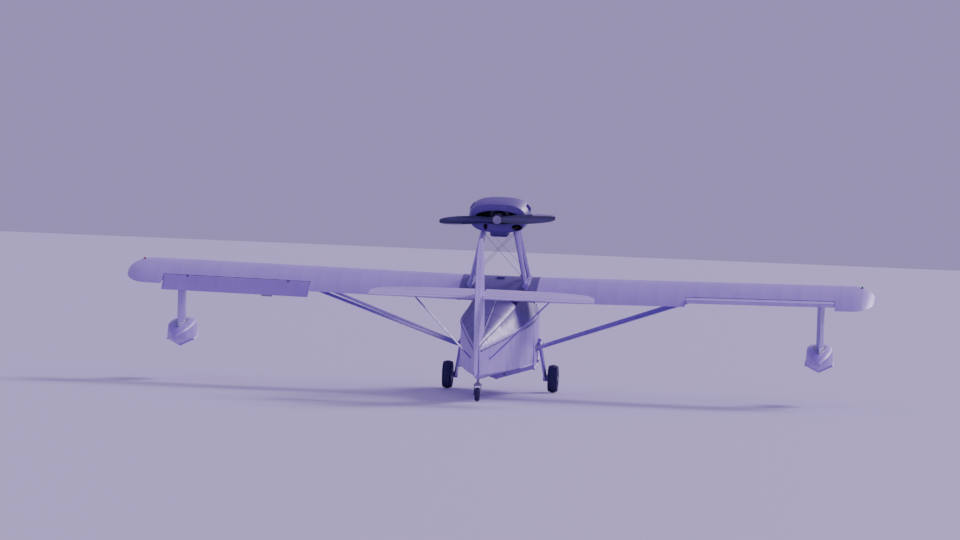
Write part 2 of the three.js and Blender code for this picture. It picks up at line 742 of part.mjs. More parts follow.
// Hull with its cockpit well, footwell and the hole for the tail wheel post
const WELL = [
  // y, half-width at the top
  [1165, 428],
  [1500, 480],
  [BULKHEAD_Y, 500],
];
const WELL_TOP = 1150;
const WELL_LEAN = 10; // how far each side leans in, down to the floor
const FOOTWELL = { half: 360, roof: 760, front: 820, back: 1200 };
const HULL_HINGE_Z = 900;
const wellRing = ([y, half]) => [
  at(half, y, WELL_TOP),
  at(half - WELL_LEAN, y, COCKPIT_FLOOR),
  at(WELL_LEAN - half, y, COCKPIT_FLOOR),
  at(-half, y, WELL_TOP),
];
const footwellOutline = [
  [-FOOTWELL.half, COCKPIT_FLOOR],
  [FOOTWELL.half, COCKPIT_FLOOR],
  [FOOTWELL.half, FOOTWELL.roof],
  [-FOOTWELL.half, FOOTWELL.roof],
];
const footwell = plate("front", footwellOutline, FOOTWELL.front, FOOTWELL.back);
const postHole = bored(
  at(0, TAIL_POST.y, TAIL_POST.holeBottom),
  at(0, TAIL_POST.y, TAIL_POST.holeTop),
  TAIL_POST.radius,
  TAIL_POST.sides,
);
const hullEye = hinge(at(0, RUDDER_HINGE_Y, HULL_HINGE_Z), at(0, 0, -1), at(0, 1, 0), TAIL_HALF);
const bowPadZ = BOW_PAD.top - PAD_DEPTH / 2;
const bowPad = block(BOW_PAD.width, BOW_PAD.length, PAD_DEPTH, 0, BOW_PAD.y, bowPadZ);
const hollowed = cut(hullBody, loft(WELL.map(wellRing)), footwell, postHole);
const hull = join(hollowed, cut(hullEye.eye, hullEye.hole), bowPad);
addPiece("hull", hull, HULL_PAINT);

// Cabin frame, windscreen halves, and top-hinged doors with their windows, drawn aft and up
const SCREEN_OUTLINE = [[1172, 925], [1560, 1232], [1560, 1400], [1172, 1400]];
const SCREEN_POST = 13; // half-width of the post between the windscreen halves
const DOOR_OUTLINE = [[1372, 918], [1878, 925], [1878, 1200], [1636, 1200], [1480, 1098]];
const WINDOW_OUTLINE = [[1450, 965], [1838, 970], [1838, 1152], [1604, 1130], [1514, 1072]];
const DOOR_GAP = 6;
const DOOR_GUTTER = 14; // gap along the top, where the door's edge turns in
const DOOR_HINGE = { x: 338, z: 1190, stations: [1700, 1845], nose: 18 };
const GLASS = { outer: 11, inner: 19 }; // depths below the cabin wall's outer face
const WALL_REACH = { from: 100, to: 900 };
const roundHull = padded(hullBody);
const roundCentre = padded(centreSection);
const trimmed = (solid) => cut(solid, roundHull, roundCentre);
const cabinWall = trimmed(cabinLayer(0, CABIN_WALL));
const glassLayer = trimmed(cabinLayer(GLASS.outer, GLASS.inner));
const throughWall = (outline) => plate("side", outline, WALL_REACH.from, WALL_REACH.to);
const doorDown = at(210, 0, -328).normalize();
const doorHinges = DOOR_HINGE.stations.map((y) =>
  hinge(at(DOOR_HINGE.x, y, DOOR_HINGE.z), at(0, 1, 0), doorDown, DOOR_HINGE.nose),
);
const doorway = [0, DOOR_GUTTER - DOOR_GAP].map((up) =>
  shifted(throughWall(grown(DOOR_OUTLINE, DOOR_GAP)), 0, 0, up),
);
const screenHalf = (inset) =>
  plate("side", grown(SCREEN_OUTLINE, -inset), SCREEN_POST + inset, WALL_REACH.to);
const openings = SIDES.flatMap(({ side }) =>
  [screenHalf(0), ...doorway].map((solid) => oriented(solid, side)),
);
const doorEyes = SIDES.flatMap(({ side }) =>
  doorHinges.map(({ eye, hole }) => oriented(cut(eye, hole), side)),
);
const cabinFrame = join(cut(cabinWall, ...openings), ...doorEyes);
addPiece("cabin_frame", cabinFrame, INDIGO_PAINT);
both((name, side) => {
  const onSide = (solid) => oriented(solid, side);
  addPiece(`windscreen_${name}`, glassLayer.intersect(onSide(screenHalf(SEAT))), CLEAR_GLASS);
  const panel = cabinWall.intersect(onSide(throughWall(DOOR_OUTLINE)));
  const slots = doorHinges.map(({ slot }) => onSide(slot));
  const pins = doorHinges.map(({ pin }) => onSide(pin));
  const door = join(cut(panel, onSide(throughWall(WINDOW_OUTLINE)), ...slots), ...pins);
  addPiece(`door_${name}`, door, INDIGO_PAINT);
  const pane = glassLayer.intersect(onSide(throughWall(grown(WINDOW_OUTLINE, -SEAT))));
  addPiece(`door_window_${name}`, pane, CLEAR_GLASS);
});

// Aft deck
const aftDeck = trimmed(upperLoft(BULKHEAD_Y + SEAT, HULL_END, 0));
addPiece("aft_deck", aftDeck, INDIGO_PAINT);

// Seats, instrument panel, control wheels and rudder pedals
const SEAT_OUTLINE = [
  // aft, up
  [1700, 331],
  [1700, 560],
  [1725, 606],
  [2140, 570],
  [2225, 975],
  [2250, 1000],
  [2310, 1000],
  [2335, 975],
  [2240, 331],
];
const SEAT_SPAN = { from: 40, to: 425 };
const PANEL_OUTLINE = [[-485, 720], [485, 720], [485, 830], [330, 985], [-330, 985], [-485, 830]];
const PANEL = { front: 1340, back: 1372 };
const CONTROL = { x: 230, y: 1470, z: 850, radius: 115, rim: 11, spoke: 9, column: 13 };
const PEDALS = {
  stations: [-280, -120, 120, 280],
  bar: { half: 330, y: 1020, z: 350, radius: 10 },
  foot: { width: 30, length: 40, height: 26 },
  plate: { width: 80, thick: 12, height: 100, y: 1000, z: 470, lean: 20 },
};
both((name, side) => {
  const seat = plate("side", SEAT_OUTLINE, SEAT_SPAN.from, SEAT_SPAN.to);
  addPiece(`seat_${name}`, oriented(seat, side), SEAT_CLOTH);
});
const panelBody = plate("front", PANEL_OUTLINE, PANEL.front, PANEL.back);
const panel = cut(panelBody, padded(hull), padded(cabinFrame));
addPiece("instrument_panel", panel, PANEL_BLACK);
both((name, side) => {
  const { x, y, z, radius } = CONTROL;
  const ring = toSolid(new THREE.TorusGeometry(radius, CONTROL.rim, 6, 18).rotateX(Math.PI / 2));
  const column = rod(at(x, PANEL.back + SEAT, z), at(x, y + CONTROL.spoke, z), CONTROL.column);
  const spoke = rod(at(x - radius, y, z), at(x + radius, y, z), CONTROL.spoke);
  const wheel = join(shifted(ring, x, y, z), column, spoke);
  addPiece(`control_wheel_${name}`, oriented(wheel, side), PANEL_BLACK);
});
function rudderPedals() {
  const { stations, bar, foot, plate: tread } = PEDALS;
  const crossBar = rod(at(-bar.half, bar.y, bar.z), at(bar.half, bar.y, bar.z), bar.radius, 8);
  const footZ = COCKPIT_FLOOR + SEAT + foot.height / 2;
  const feet = [-bar.half, 0, bar.half].map((x) =>
    block(foot.width, foot.length, foot.height, x, bar.y, footZ),
  );
  const treads = stations.map((x) => {
    const flat = block(tread.width, tread.thick, tread.height, x, tread.y, tread.z);
    return turned(flat, at(x, tread.y, tread.z), at(1, 0, 0), tread.lean);
  });
  const stems = stations.map((x) => rod(at(x, bar.y, bar.z), at(x, tread.y, tread.z), bar.radius, 6));
  return join(crossBar, ...feet, ...treads, ...stems);
}
addPiece("rudder_pedals", rudderPedals(), STEEL);

// Wings, ailerons, lift struts, float pylons and floats
const [wing, aileron] = wingAndAileron();
const roundWing = padded(wing);
const lampPoint = wingPoint(LAMP.x, LAMP.chord, LAMP.height);
const lamp = toSolid(new THREE.SphereGeometry(LAMP.radius, 12, 8).translate(...lampPoint.toArray()));
const float = floatBody();
const post = faired(
  at(FLOAT.x, FLOAT.y, FLOAT.pylonFoot),
  at(FLOAT.x, FLOAT.y, FLOAT.pylonTop),
  FLOAT.pylonChord,
  FLOAT.pylonThickness,
);
both((name, side) => {
  const droop = side > 0 ? -AILERON.rest : AILERON.rest;
  const flap = turned(aileron, aileronHinge(AILERON.inner), spanwise, droop);
  addPiece(`wing_${name}`, oriented(join(wing, lamp), side), DOPED_FABRIC);
  addPiece(`aileron_${name}`, oriented(flap, side), DOPED_FABRIC);
  for (const [place, x, y, footY] of LIFT_STRUTS) {
    const strut = cut(liftStrut(x, y, footY), roundWing, roundHull);
    addPiece(`lift_strut_${place}_${name}`, oriented(strut, side), STRUT_PAINT);
  }
  addPiece(`float_${name}`, oriented(float, side), HULL_PAINT);
  addPiece(`float_pylon_${name}`, oriented(cut(post, roundWing, padded(float)), side), STRUT_PAINT);
});

// Engine pylon, cowl, airbox, engine and propeller
const BRACE = {
  foot: { x: 400, y: 2980, z: 1440 },
  top: { x: 246, y: 2680, z: PYLON.topZ - 70 },
  chord: 90,
};
const SHOE = { width: 80, length: 900, height: 60, y: 2700, z: 1452 };
const TRIM = { width: 900, length: 1200, height: 200 }; // cuts the legs off level under the engine bed
both((name, side) => {
  const brace = faired(
    at(side * BRACE.foot.x, BRACE.foot.y, BRACE.foot.z),
    at(side * BRACE.top.x, BRACE.top.y, BRACE.top.z),
    BRACE.chord,
    PYLON.thickness,
  );
  const shoe = block(SHOE.width, SHOE.length, SHOE.height, side * PYLON.baseX, SHOE.y, SHOE.z);
  const above = block(TRIM.width, TRIM.length, TRIM.height, 0, ENGINE_BED.y, PYLON.topZ + TRIM.height / 2);
  const frame = cut(join(...pylonLegs(side, 0), brace, shoe), roundCentre, above);
  addPiece(`pylon_frame_${name}`, frame, STRUT_PAINT);
});
const cowlOuter = loft(COWL.map((row) => cowlRing(row, 0)));
const cowlInner = loft(COWL.slice(1, -1).map((row) => cowlRing(row, COWL_WALL)));
const cowlHoles = [
  oval(0, COWL_MOUTH.z, COWL_MOUTH.halfWidth, COWL_MOUTH.halfHeight, COWL_MOUTH.front, COWL_MOUTH.back, 28),
  oval(0, THRUST_Z, COWL_INTAKE.halfWidth, COWL_INTAKE.halfHeight, COWL_INTAKE.front, COWL_INTAKE.back),
  ...EXHAUSTS.map(([, side, , x, halfWidth, halfHeight]) =>
    oval(side * x, THRUST_Z - EXHAUST.drop, halfWidth, halfHeight, COWL_MOUTH.front, COWL_MOUTH.back),
  ),
];
const legHoles = [...pylonLegs(1, 2 * SEAT), ...pylonLegs(-1, 2 * SEAT)];
addPiece("cowl", cut(cowlOuter, cowlInner, ...cowlHoles, ...legHoles), INDIGO_PAINT);
addPiece("airbox", cut(airbox(), padded(cowlOuter)), INDIGO_PAINT);
const nacelleRoom = loft(COWL.slice(1, -1).map((row) => cowlRing(row, COWL_WALL + SEAT)));
const bedZ = PYLON.topZ + SEAT + ENGINE_BED.thick / 2;
const bedBlock = block(ENGINE_BED.width, ENGINE_BED.length, ENGINE_BED.thick, 0, ENGINE_BED.y, bedZ);
addPiece("engine_bed", bedBlock.intersect(nacelleRoom), STEEL);
const crankBottom = PYLON.topZ + ENGINE_BED.thick + 2 * SEAT;
const crankHeight = CRANKCASE.top - crankBottom;
const crankZ = (CRANKCASE.top + crankBottom) / 2;
const onShaft = (y) => at(0, y, THRUST_Z);
const hubFront = PROPELLER.y - PROPELLER.depth / 2;
const crankcase = join(
  block(2 * CRANKCASE.half, CRANKCASE.length, crankHeight, 0, CRANKCASE.y, crankZ),
  rod(onShaft(CRANKCASE.y), onShaft(hubFront - 6), CRANKCASE.nose, 20),
  rod(onShaft(CRANKCASE.y), onShaft(hubFront + PROPELLER.depth - 14), PROPELLER.bore, 20),
);
addPiece("crankcase", crankcase, ENGINE_METAL);
const head = block(HEAD.width, HEAD.length, HEAD.height, HEAD.x, CRANKCASE.y, THRUST_Z);
const cylinders = join(head, ...CYLINDER.stations.map(barrel));
both((name, side) => addPiece(`cylinder_bank_${name}`, oriented(cylinders, side), ENGINE_METAL));
for (const [name, side, radius, outX] of EXHAUSTS) {
  const pipes = cut(exhaust(radius, outX), padded(cylinders));
  addPiece(`exhaust_${name}`, oriented(pipes, side), ENGINE_METAL);
}
addPiece("propeller", propeller(), PROPELLER_PAINT);

// Fin, rudder, tailplane, elevator and tail struts
const rudderHinges = RUDDER_HINGES.map((z) =>
  hinge(at(0, RUDDER_HINGE_Y, z), at(0, 0, -1), at(0, 1, 0), TAIL_HALF),
);
const finBody = cut(fin(), padded(aftDeck), roundHull);
const tubeHole = rod(
  at(-3 * TAIL_HALF, ELEVATOR_HINGE_Y, TAILPLANE_Z),
  at(3 * TAIL_HALF, ELEVATOR_HINGE_Y, TAILPLANE_Z),
  ELEVATOR.tube + 6,
);
const [finWithEyes, rudderBody] = addHinges(cut(finBody, tubeHole), rudder(), rudderHinges);
addPiece("fin", finWithEyes, HULL_PAINT);
addPiece("rudder", join(cut(rudderBody, hullEye.slot), hullEye.pin), HULL_PAINT);
const elevatorHinges = ELEVATOR.hinges.flatMap((x) => [elevatorHinge(x), elevatorHinge(-x)]);
addPiece("elevator", elevator(elevatorHinges), DOPED_FABRIC);
const TAIL_STRUT = {
  foot: at(100, 5950, 800),
  top: at(1010, 5880, TAILPLANE_Z),
  chord: 60,
  thickness: 0.4,
};
both((name, side) => {
  const eyes = ELEVATOR.hinges.map(elevatorHinge).map(({ eye, hole }) => cut(eye, hole));
  const half = join(tailplane(), ...eyes);
  addPiece(`tailplane_${name}`, oriented(half, side), DOPED_FABRIC);
  const strut = faired(TAIL_STRUT.foot, TAIL_STRUT.top, TAIL_STRUT.chord, TAIL_STRUT.thickness);
  addPiece(`tail_strut_${name}`, oriented(cut(strut, padded(half), roundHull), side), STRUT_PAINT);
});

// Main gear: a pivot on the hull's side, a leg and a drag tube down to the knuckle, and a stub axle
const GEAR = {
  pivot: { x: 588, z: 430, front: 1990, back: 2330, radius: 42 },
  leg: { x: 590, y: 2130, chord: 150, thickness: 0.36 },
  drag: { y: 2300, radius: 20 },
  ankle: 672,
  knuckle: { half: 32, radius: 46 },
};
both((name, side) => {
  const { pivot, leg, drag, ankle, knuckle } = GEAR;
  const onAxle = (x) => at(x, AXLE.y, AXLE.z);
  const whole = join(
    rod(at(pivot.x, pivot.front, pivot.z), at(pivot.x, pivot.back, pivot.z), pivot.radius),
    faired(at(leg.x, leg.y, pivot.z), onAxle(ankle), leg.chord, leg.thickness),
    rod(at(leg.x, drag.y, pivot.z), at(ankle, AXLE.y + drag.radius, AXLE.z + drag.radius), drag.radius),
    rod(onAxle(ankle - knuckle.half), onAxle(ankle + knuckle.half), knuckle.radius),
    rod(onAxle(ankle), onAxle(AXLE.x + MAIN_TYRE.width * 0.45), AXLE.radius),
  );
  addPiece(`gear_leg_${name}`, oriented(cut(whole, roundHull), side), STRUT_PAINT);
  const place = (solid) => shifted(solid, side * AXLE.x, AXLE.y, AXLE.z);
  addPiece(`wheel_rim_${name}`, place(rim(MAIN_TYRE, AXLE.radius + SEAT)), STEEL);
  addPiece(`tyre_${name}`, place(tyre(MAIN_TYRE)), TYRE_RUBBER);
});

// Tail wheel in its steering fork
const FORK = {
  arm: { x: 46, chord: 50, thickness: 0.3 },
  crown: { up: 130, width: 108, length: 90, height: 24 },
  axle: 9,
};
const { arm, crown } = FORK;
const crownZ = TAIL_AXLE_Z + crown.up;
const tailAxle = (x) => at(x, TAIL_TYRE.y, TAIL_AXLE_Z);
const onPost = (z) => at(0, TAIL_POST.y, z);
const forkArms = [arm.x, -arm.x].map((x) =>
  faired(tailAxle(x), at(x, TAIL_POST.y + 10, crownZ), arm.chord, arm.thickness),
);
const fork = join(
  rod(onPost(crownZ - 10), onPost(TAIL_POST.top), TAIL_POST.radius, TAIL_POST.sides),
  block(crown.width, crown.length, crown.height, 0, TAIL_POST.y + 15, crownZ),
  ...forkArms,
  rod(tailAxle(-arm.x - 10), tailAxle(arm.x + 10), FORK.axle),
);
addPiece("tail_fork", fork, STEEL);
const placeTail = (solid) => shifted(solid, 0, TAIL_TYRE.y, TAIL_AXLE_Z);
addPiece("tail_rim", placeTail(rim(TAIL_TYRE, FORK.axle + SEAT)), STEEL);
addPiece("tail_tyre", placeTail(tyre(TAIL_TYRE)), TYRE_RUBBER);

// Stand the airframe on its wheels, centred on the ground
airframe.rotation.x = -radians(GROUND_ANGLE);
const stand = new THREE.Group();
stand.add(airframe);
stand.updateMatrixWorld(true);
const bounds = new THREE.Box3().setFromObject(stand, true);
const middle = bounds.getCenter(at(0, 0, 0));
airframe.position.set(-middle.x, -middle.y, -bounds.min.z);

export default stand;
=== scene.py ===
# %% [markdown]
# # A light amphibious flying boat
# The airframe is a plywood boat hull with a fabric-covered wing over it, and it stands on its wheels. The
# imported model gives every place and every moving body. This lesson builds the finish round it: smooth
# skins where the model has flat facets, ribs under taut fabric, fittings, glass and paint.

# %% Load the frame
from math import copysign, cos, degrees, exp, hypot, pi, radians, sin, sqrt, tan

import bmesh
import bpy
from mathutils import Matrix, Vector


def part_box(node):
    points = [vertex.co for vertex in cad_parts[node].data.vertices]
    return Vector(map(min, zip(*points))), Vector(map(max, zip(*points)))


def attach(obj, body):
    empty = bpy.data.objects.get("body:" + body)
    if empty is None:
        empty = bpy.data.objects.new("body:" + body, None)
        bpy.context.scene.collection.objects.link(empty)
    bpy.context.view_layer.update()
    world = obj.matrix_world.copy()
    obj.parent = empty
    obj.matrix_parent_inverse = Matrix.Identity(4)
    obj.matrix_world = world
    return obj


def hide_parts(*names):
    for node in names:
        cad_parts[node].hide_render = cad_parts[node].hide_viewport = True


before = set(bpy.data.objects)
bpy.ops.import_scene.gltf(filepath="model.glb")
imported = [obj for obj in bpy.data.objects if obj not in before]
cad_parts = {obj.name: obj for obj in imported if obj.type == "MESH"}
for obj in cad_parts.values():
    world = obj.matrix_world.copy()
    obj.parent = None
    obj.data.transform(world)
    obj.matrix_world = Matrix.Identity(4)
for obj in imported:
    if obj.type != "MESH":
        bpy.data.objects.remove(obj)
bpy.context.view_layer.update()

# %% [markdown]
# The aircraft sits 8 degrees nose up on its wheels, but it is drawn level, as its builder would draw it:
# X to port, Y aft from the bow and Z up from the keel at the step. One turn and one shift, taken from a
# wheel that the frame already holds, carry every drawn point to where the frame has it.

# %% Level drawing to standing aircraft
GROUND_ANGLE = radians(8)
AXLE = Vector((0.790, 2.050, -0.100))
PORT, AFT, UP = Vector((1, 0, 0)), Vector((0, 1, 0)), Vector((0, 0, 1))
SIDES = ((1, "left"), (-1, "right"))
MM = 0.001
tilt = Matrix.Rotation(-GROUND_ANGLE, 3, "X")
shift = sum(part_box("tyre_left"), Vector()) / 2 - tilt @ AXLE


def level(point):
    return tilt @ Vector(point) + shift


print("the bow stands at", tuple(round(v, 3) for v in level((0, 0, 0.63))))

# %% [markdown]
# Every shape here is a list of points with a list of faces, so small parts can be joined into one mesh
# before it becomes an object. A skin runs through rings of points, as planking runs over frames.

# %% Shapes from rings
def steps(start, end, count):
    return [start + (end - start) * i / count for i in range(count + 1)]


def circle(count):
    return steps(0, 2 * pi, count)[:-1]


def skin(rings, ends=True):
    """Points and faces of a closed surface through rings of equal length."""
    count = len(rings[0])
    points = [tuple(p) for ring in rings for p in ring]
    faces = []
    for start in range(0, len(points) - count, count):
        for i in range(count):
            a, b = start + i, start + (i + 1) % count
            faces.append((a, b, b + count, a + count))
    if ends:
        faces += [tuple(range(count)), tuple(range(len(points) - count, len(points)))]
    return points, faces


def joined(*shapes):
    points, faces = [], []
    for shape_points, shape_faces in shapes:
        start = len(points)
        points += shape_points
        faces += [tuple(i + start for i in face) for face in shape_faces]
    return points, faces


def sided(shape, side):
    """A shape drawn for the port side, or its mirror image."""
    if side > 0:
        return shape
    return [(-x, y, z) for x, y, z in shape[0]], [tuple(reversed(f)) for f in shape[1]]


def both(*shapes):
    return joined(*[sided(shape, side) for shape in shapes for side, _ in SIDES])


def spun(shape, point, axis, angle):
    """A shape turned about a line."""
    turn = Matrix.Rotation(angle, 3, Vector(axis).normalized())
    return [tuple(turn @ (Vector(p) - Vector(point)) + Vector(point)) for p in shape[0]], shape[1]


# %% [markdown]
# Four plain forms make most fittings: **a tube** along a path, **a lathe shape**, **a block** and a
# **prism** from a drawing in one view. A lathe profile is pairs of distance along the axis and radius.

# %% Tubes, lathe shapes, blocks and prisms
def basis(along):
    """Two unit vectors square to a direction, the first as near fore-and-aft as it can be."""
    along = Vector(along).normalized()
    guide = AFT if abs(along.y) < 0.95 else UP
    first = (guide - along * guide.dot(along)).normalized()
    return first, along.cross(first)


def tube(path, radius, sides=12):
    """A round bar through a path; radius is one number, or one for each point."""
    path = [Vector(p) for p in path]
    radii = radius if isinstance(radius, (list, tuple)) else [radius] * len(path)
    u, _ = basis(path[1] - path[0])
    rings = []
    for i, centre in enumerate(path):
        ahead = (path[min(i + 1, len(path) - 1)] - path[max(i - 1, 0)]).normalized()
        u = (u - ahead * u.dot(ahead)).normalized()
        v = ahead.cross(u)
        rings.append([centre + (u * cos(a) + v * sin(a)) * radii[i] for a in circle(sides)])
    return skin(rings)


def turned(profile, centre, axis, sides=32):
    """A lathe shape; a profile that comes back to its first point makes a ring."""
    centre, axis = Vector(centre), Vector(axis).normalized()
    u, v = basis(axis)
    spokes = [u * cos(a) + v * sin(a) for a in circle(sides)]
    rings = [[centre + axis * s + spoke * max(r, 1e-4) for spoke in spokes] for s, r in profile]
    return skin(rings, ends=profile[0] != profile[-1])


def washer(start, end, inner, outer):
    """The profile of a plain ring."""
    return [(start, inner), (start, outer), (end, outer), (end, inner), (start, inner)]


def slab(centre, size, axes=(PORT, AFT, UP)):
    """A rectangular block on three directions."""
    half = [Vector(axis).normalized() * length / 2 for axis, length in zip(axes, size)]
    corners = ((-1, -1), (1, -1), (1, 1), (-1, 1))
    return skin([[Vector(centre) + half[0] * a + half[1] * b + half[2] * end for a, b in corners]
                 for end in (-1, 1)])


def prism(view, outline, start, end):
    """A drawing in one view made solid: side is (aft, up), front is (port, up), top is (port, aft)."""
    place = {
        "side": lambda p, depth: (depth, p[0], p[1]),
        "front": lambda p, depth: (p[0], depth, p[1]),
        "top": lambda p, depth: (p[0], p[1], depth),
    }[view]
    return skin([[place(p, depth) for p in outline] for depth in (start, end)])


def spline(table, place):
    """A row of a table at any place, on a smooth curve through its rows; column 0 is the place."""
    last = len(table) - 1
    k = max(i for i in range(last) if table[i][0] <= place or i == 0)
    span = table[k + 1][0] - table[k][0]
    t = (place - table[k][0]) / span
    weights = (2 * t**3 - 3 * t**2 + 1, 3 * t**2 - 2 * t**3, t**3 - 2 * t**2 + t, t**3 - t**2)

    def slope(i, c):
        before, after = table[max(i - 1, 0)], table[min(i + 1, last)]
        return (after[c] - before[c]) / (after[0] - before[0]) * span

    columns = range(1, len(table[0]))
    parts = [(table[k][c], table[k + 1][c], slope(k, c), slope(k + 1, c)) for c in columns]
    return [place] + [sum(w * p for w, p in zip(weights, part)) for part in parts]


# %% [markdown]
# An object is made once, in the standing frame, and rides on a body. A bevel rounds the edges of parts
# cut from sheet or block, because no real edge is sharp, and the angle says which edges stay crisp.

# %% Objects from shapes
def placed(name, data):
    thing = bpy.data.objects.new(name, data)
    bpy.context.scene.collection.objects.link(thing)
    return thing


def mesh_of(name, points, faces):
    """A mesh with its twin points merged and its faces turned outward."""
    mesh = bpy.data.meshes.new(name)
    mesh.from_pydata(points, [], faces)
    edit = bmesh.new()
    edit.from_mesh(mesh)
    bmesh.ops.remove_doubles(edit, verts=edit.verts, dist=1e-5)
    bmesh.ops.dissolve_degenerate(edit, edges=edit.edges, dist=1e-6)
    bmesh.ops.recalc_face_normals(edit, faces=edit.faces)
    edit.to_mesh(mesh)
    edit.free()
    return mesh


def applied(piece):
    """Bakes the modifiers into the mesh."""
    graph = bpy.context.evaluated_depsgraph_get()
    mesh = bpy.data.meshes.new_from_object(piece.evaluated_get(graph))
    piece.modifiers.clear()
    piece.data = mesh


def carved(piece, shape, operation="DIFFERENCE"):
    """Cuts a closed shape, drawn level, out of a piece, or keeps only what lies inside it."""
    cutter = placed("cutter", mesh_of("cutter", [level(p) for p in shape[0]], shape[1]))
    cut = piece.modifiers.new("cut", "BOOLEAN")
    cut.operation = operation
    cut.solver = "EXACT"
    cut.object = cutter
    applied(piece)
    bpy.data.objects.remove(cutter)


def ridden(piece, material, body, replaces):
    piece.data.shade_smooth()
    piece.data.materials.clear()
    piece.data.materials.append(material)
    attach(piece, body)
    if replaces:
        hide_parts(replaces)
    return piece


def finished(piece, material, body="airframe", replaces="", carve=(), keep=None, bevel=0.0, crisp=35):
    if keep:
        carved(piece, keep, "INTERSECT")
    for cutter in carve:
        carved(piece, cutter)
    if bevel:
        edge = piece.modifiers.new("rounded edges", "BEVEL")
        edge.width = bevel
        edge.segments = 2
        edge.limit_method = "ANGLE"
        edge.angle_limit = radians(crisp)
        applied(piece)
    ridden(piece, material, body, replaces)
    piece.data.set_sharp_from_angle(angle=radians(crisp))
    return piece


def build(name, shape, material, **settings):
    mesh = mesh_of(name, [level(p) for p in shape[0]], shape[1])
    return finished(placed(name, mesh), material, **settings)


def pair(name, shape, material, body="airframe", replaces="", carve=(), keep=None, **edges):
    """The same piece on both sides; {} in a name stands for left or right."""
    for side, word in SIDES:
        build(name.format(word), sided(shape, side), material, body=body.format(word),
              replaces=replaces.format(word), carve=[sided(cutter, side) for cutter in carve],
              keep=keep and sided(keep, side), **edges)


# %% [markdown]
# Colours are written as they would be picked on a screen, in sRGB, and one function turns them to the
# linear values that light works in. One more function adds a shader node with its settings and links.
# Patterns read Object coordinates, which are metres here and travel with a piece when it moves.

# %% Helpers for finishes
def colour(code):
    channels = [int(code[i : i + 2], 16) / 255 for i in (1, 3, 5)]
    return tuple(c / 12.92 if c <= 0.04045 else ((c + 0.055) / 1.055) ** 2.4 for c in channels) + (1.0,)


def add(tree, kind, inputs=None, out=0, **settings):
    """Adds one node and gives one of its outputs; an input holds a value or another node's output."""
    node = tree.nodes.new("ShaderNode" + kind)
    for key, value in settings.items():
        setattr(node, key, value)
    for key, value in (inputs or {}).items():
        if isinstance(value, bpy.types.NodeSocket):
            tree.links.new(value, node.inputs[key])
        else:
            node.inputs[key].default_value = value
    return node.outputs[out]


def blank(name, **sockets):
    """A new material, its tree and the piece's own coordinates; constants sit on the shader itself."""
    made = bpy.data.materials.new(name)
    made.use_nodes = True
    for key, value in sockets.items():
        made.node_tree.nodes["Principled BSDF"].inputs[key.replace("_", " ")].default_value = value
    return made, made.node_tree, add(made.node_tree, "TexCoord", out="Object")


def dressed(made, base, layers, gloss=None, height=None, strength=0.3, depth=0.4 * MM):
    """Lays colours over a base, each by its mask, and links them with a roughness and a relief."""
    tree = made.node_tree
    shader = tree.nodes["Principled BSDF"]
    shade = colour(base)
    for mask, over in layers:
        shade = add(tree, "Mix", {0: mask, 6: shade, 7: colour(over)}, 2, data_type="RGBA")
    tree.links.new(shade, shader.inputs["Base Color"])
    if gloss:
        tree.links.new(gloss, shader.inputs["Roughness"])
    if height:
        relief = add(tree, "Bump", {"Strength": strength, "Distance": depth, "Height": height})
        tree.links.new(relief, shader.inputs["Normal"])
    return made


# %% [markdown]
# **Marine enamel on plywood** covers the hull, floats and fin. It was brushed on and flatted, so it has a
# soft gloss, a faint orange peel and slow changes of shade, with dull grime where spray dries and drips.

# %% Marine enamel
def enamel(name, base, worn, grime, roughness, peel):
    made, tree, place = blank(name, Coat_Weight=0.2, Coat_Roughness=0.45)
    cloud = add(tree, "TexNoise", {"Vector": place, "Scale": 2.2, "Detail": 6.0, "Roughness": 0.6})
    drips = add(tree, "Mapping", {"Vector": place, "Scale": (9.0, 2.0, 1.1)})
    streak = add(tree, "TexNoise", {"Vector": drips, "Scale": 3.0, "Detail": 5.0})
    faded = add(tree, "MapRange", {0: cloud, 1: 0.35, 2: 0.7})
    dirt = add(tree, "MapRange", {0: streak, 1: 0.56, 2: 0.78, 4: 0.5})
    gloss = add(tree, "MapRange", {0: streak, 1: 0.3, 2: 0.75, 3: roughness, 4: roughness + 0.22})
    # Orange peel is about 2 mm across; it is drawn at 6 mm so that it shows
    orange_peel = add(tree, "TexNoise", {"Vector": place, "Scale": 1 / (6 * MM), "Detail": 2.0})
    return dressed(made, base, [(faded, worn), (dirt, grime)], gloss, orange_peel, peel, 0.6 * MM)


hull_enamel = enamel("brushed marine enamel, pale lavender", "#bda3e8", "#ae94dc", "#826db4", 0.38, 0.25)
indigo_enamel = enamel("brushed marine enamel, indigo", "#5e4399", "#50388a", "#7058a8", 0.42, 0.25)
# The struts are as pale as the hull, but their enamel is mixed darker: painted shade, for the shade they
# stand in
shaded_strut_enamel = enamel("sprayed enamel on steel tube, painted shade", "#a48dd8", "#947ec8", "#725ea6", 0.38, 0.15)
print("enamels mixed")

# %% [markdown]
# **Doped fabric** is polyester cloth shrunk over the ribs, brushed with dope and painted. The weave still
# prints through, and a pinked tape lies over every rib. Threads are 0.4 mm apart, far too fine for this
# picture, so the weave is drawn at 5 mm. The tapes are worked out from the rib spacing itself.

# %% Doped fabric
RIB_SPACING = 0.300
TAPE_HALF = 0.025


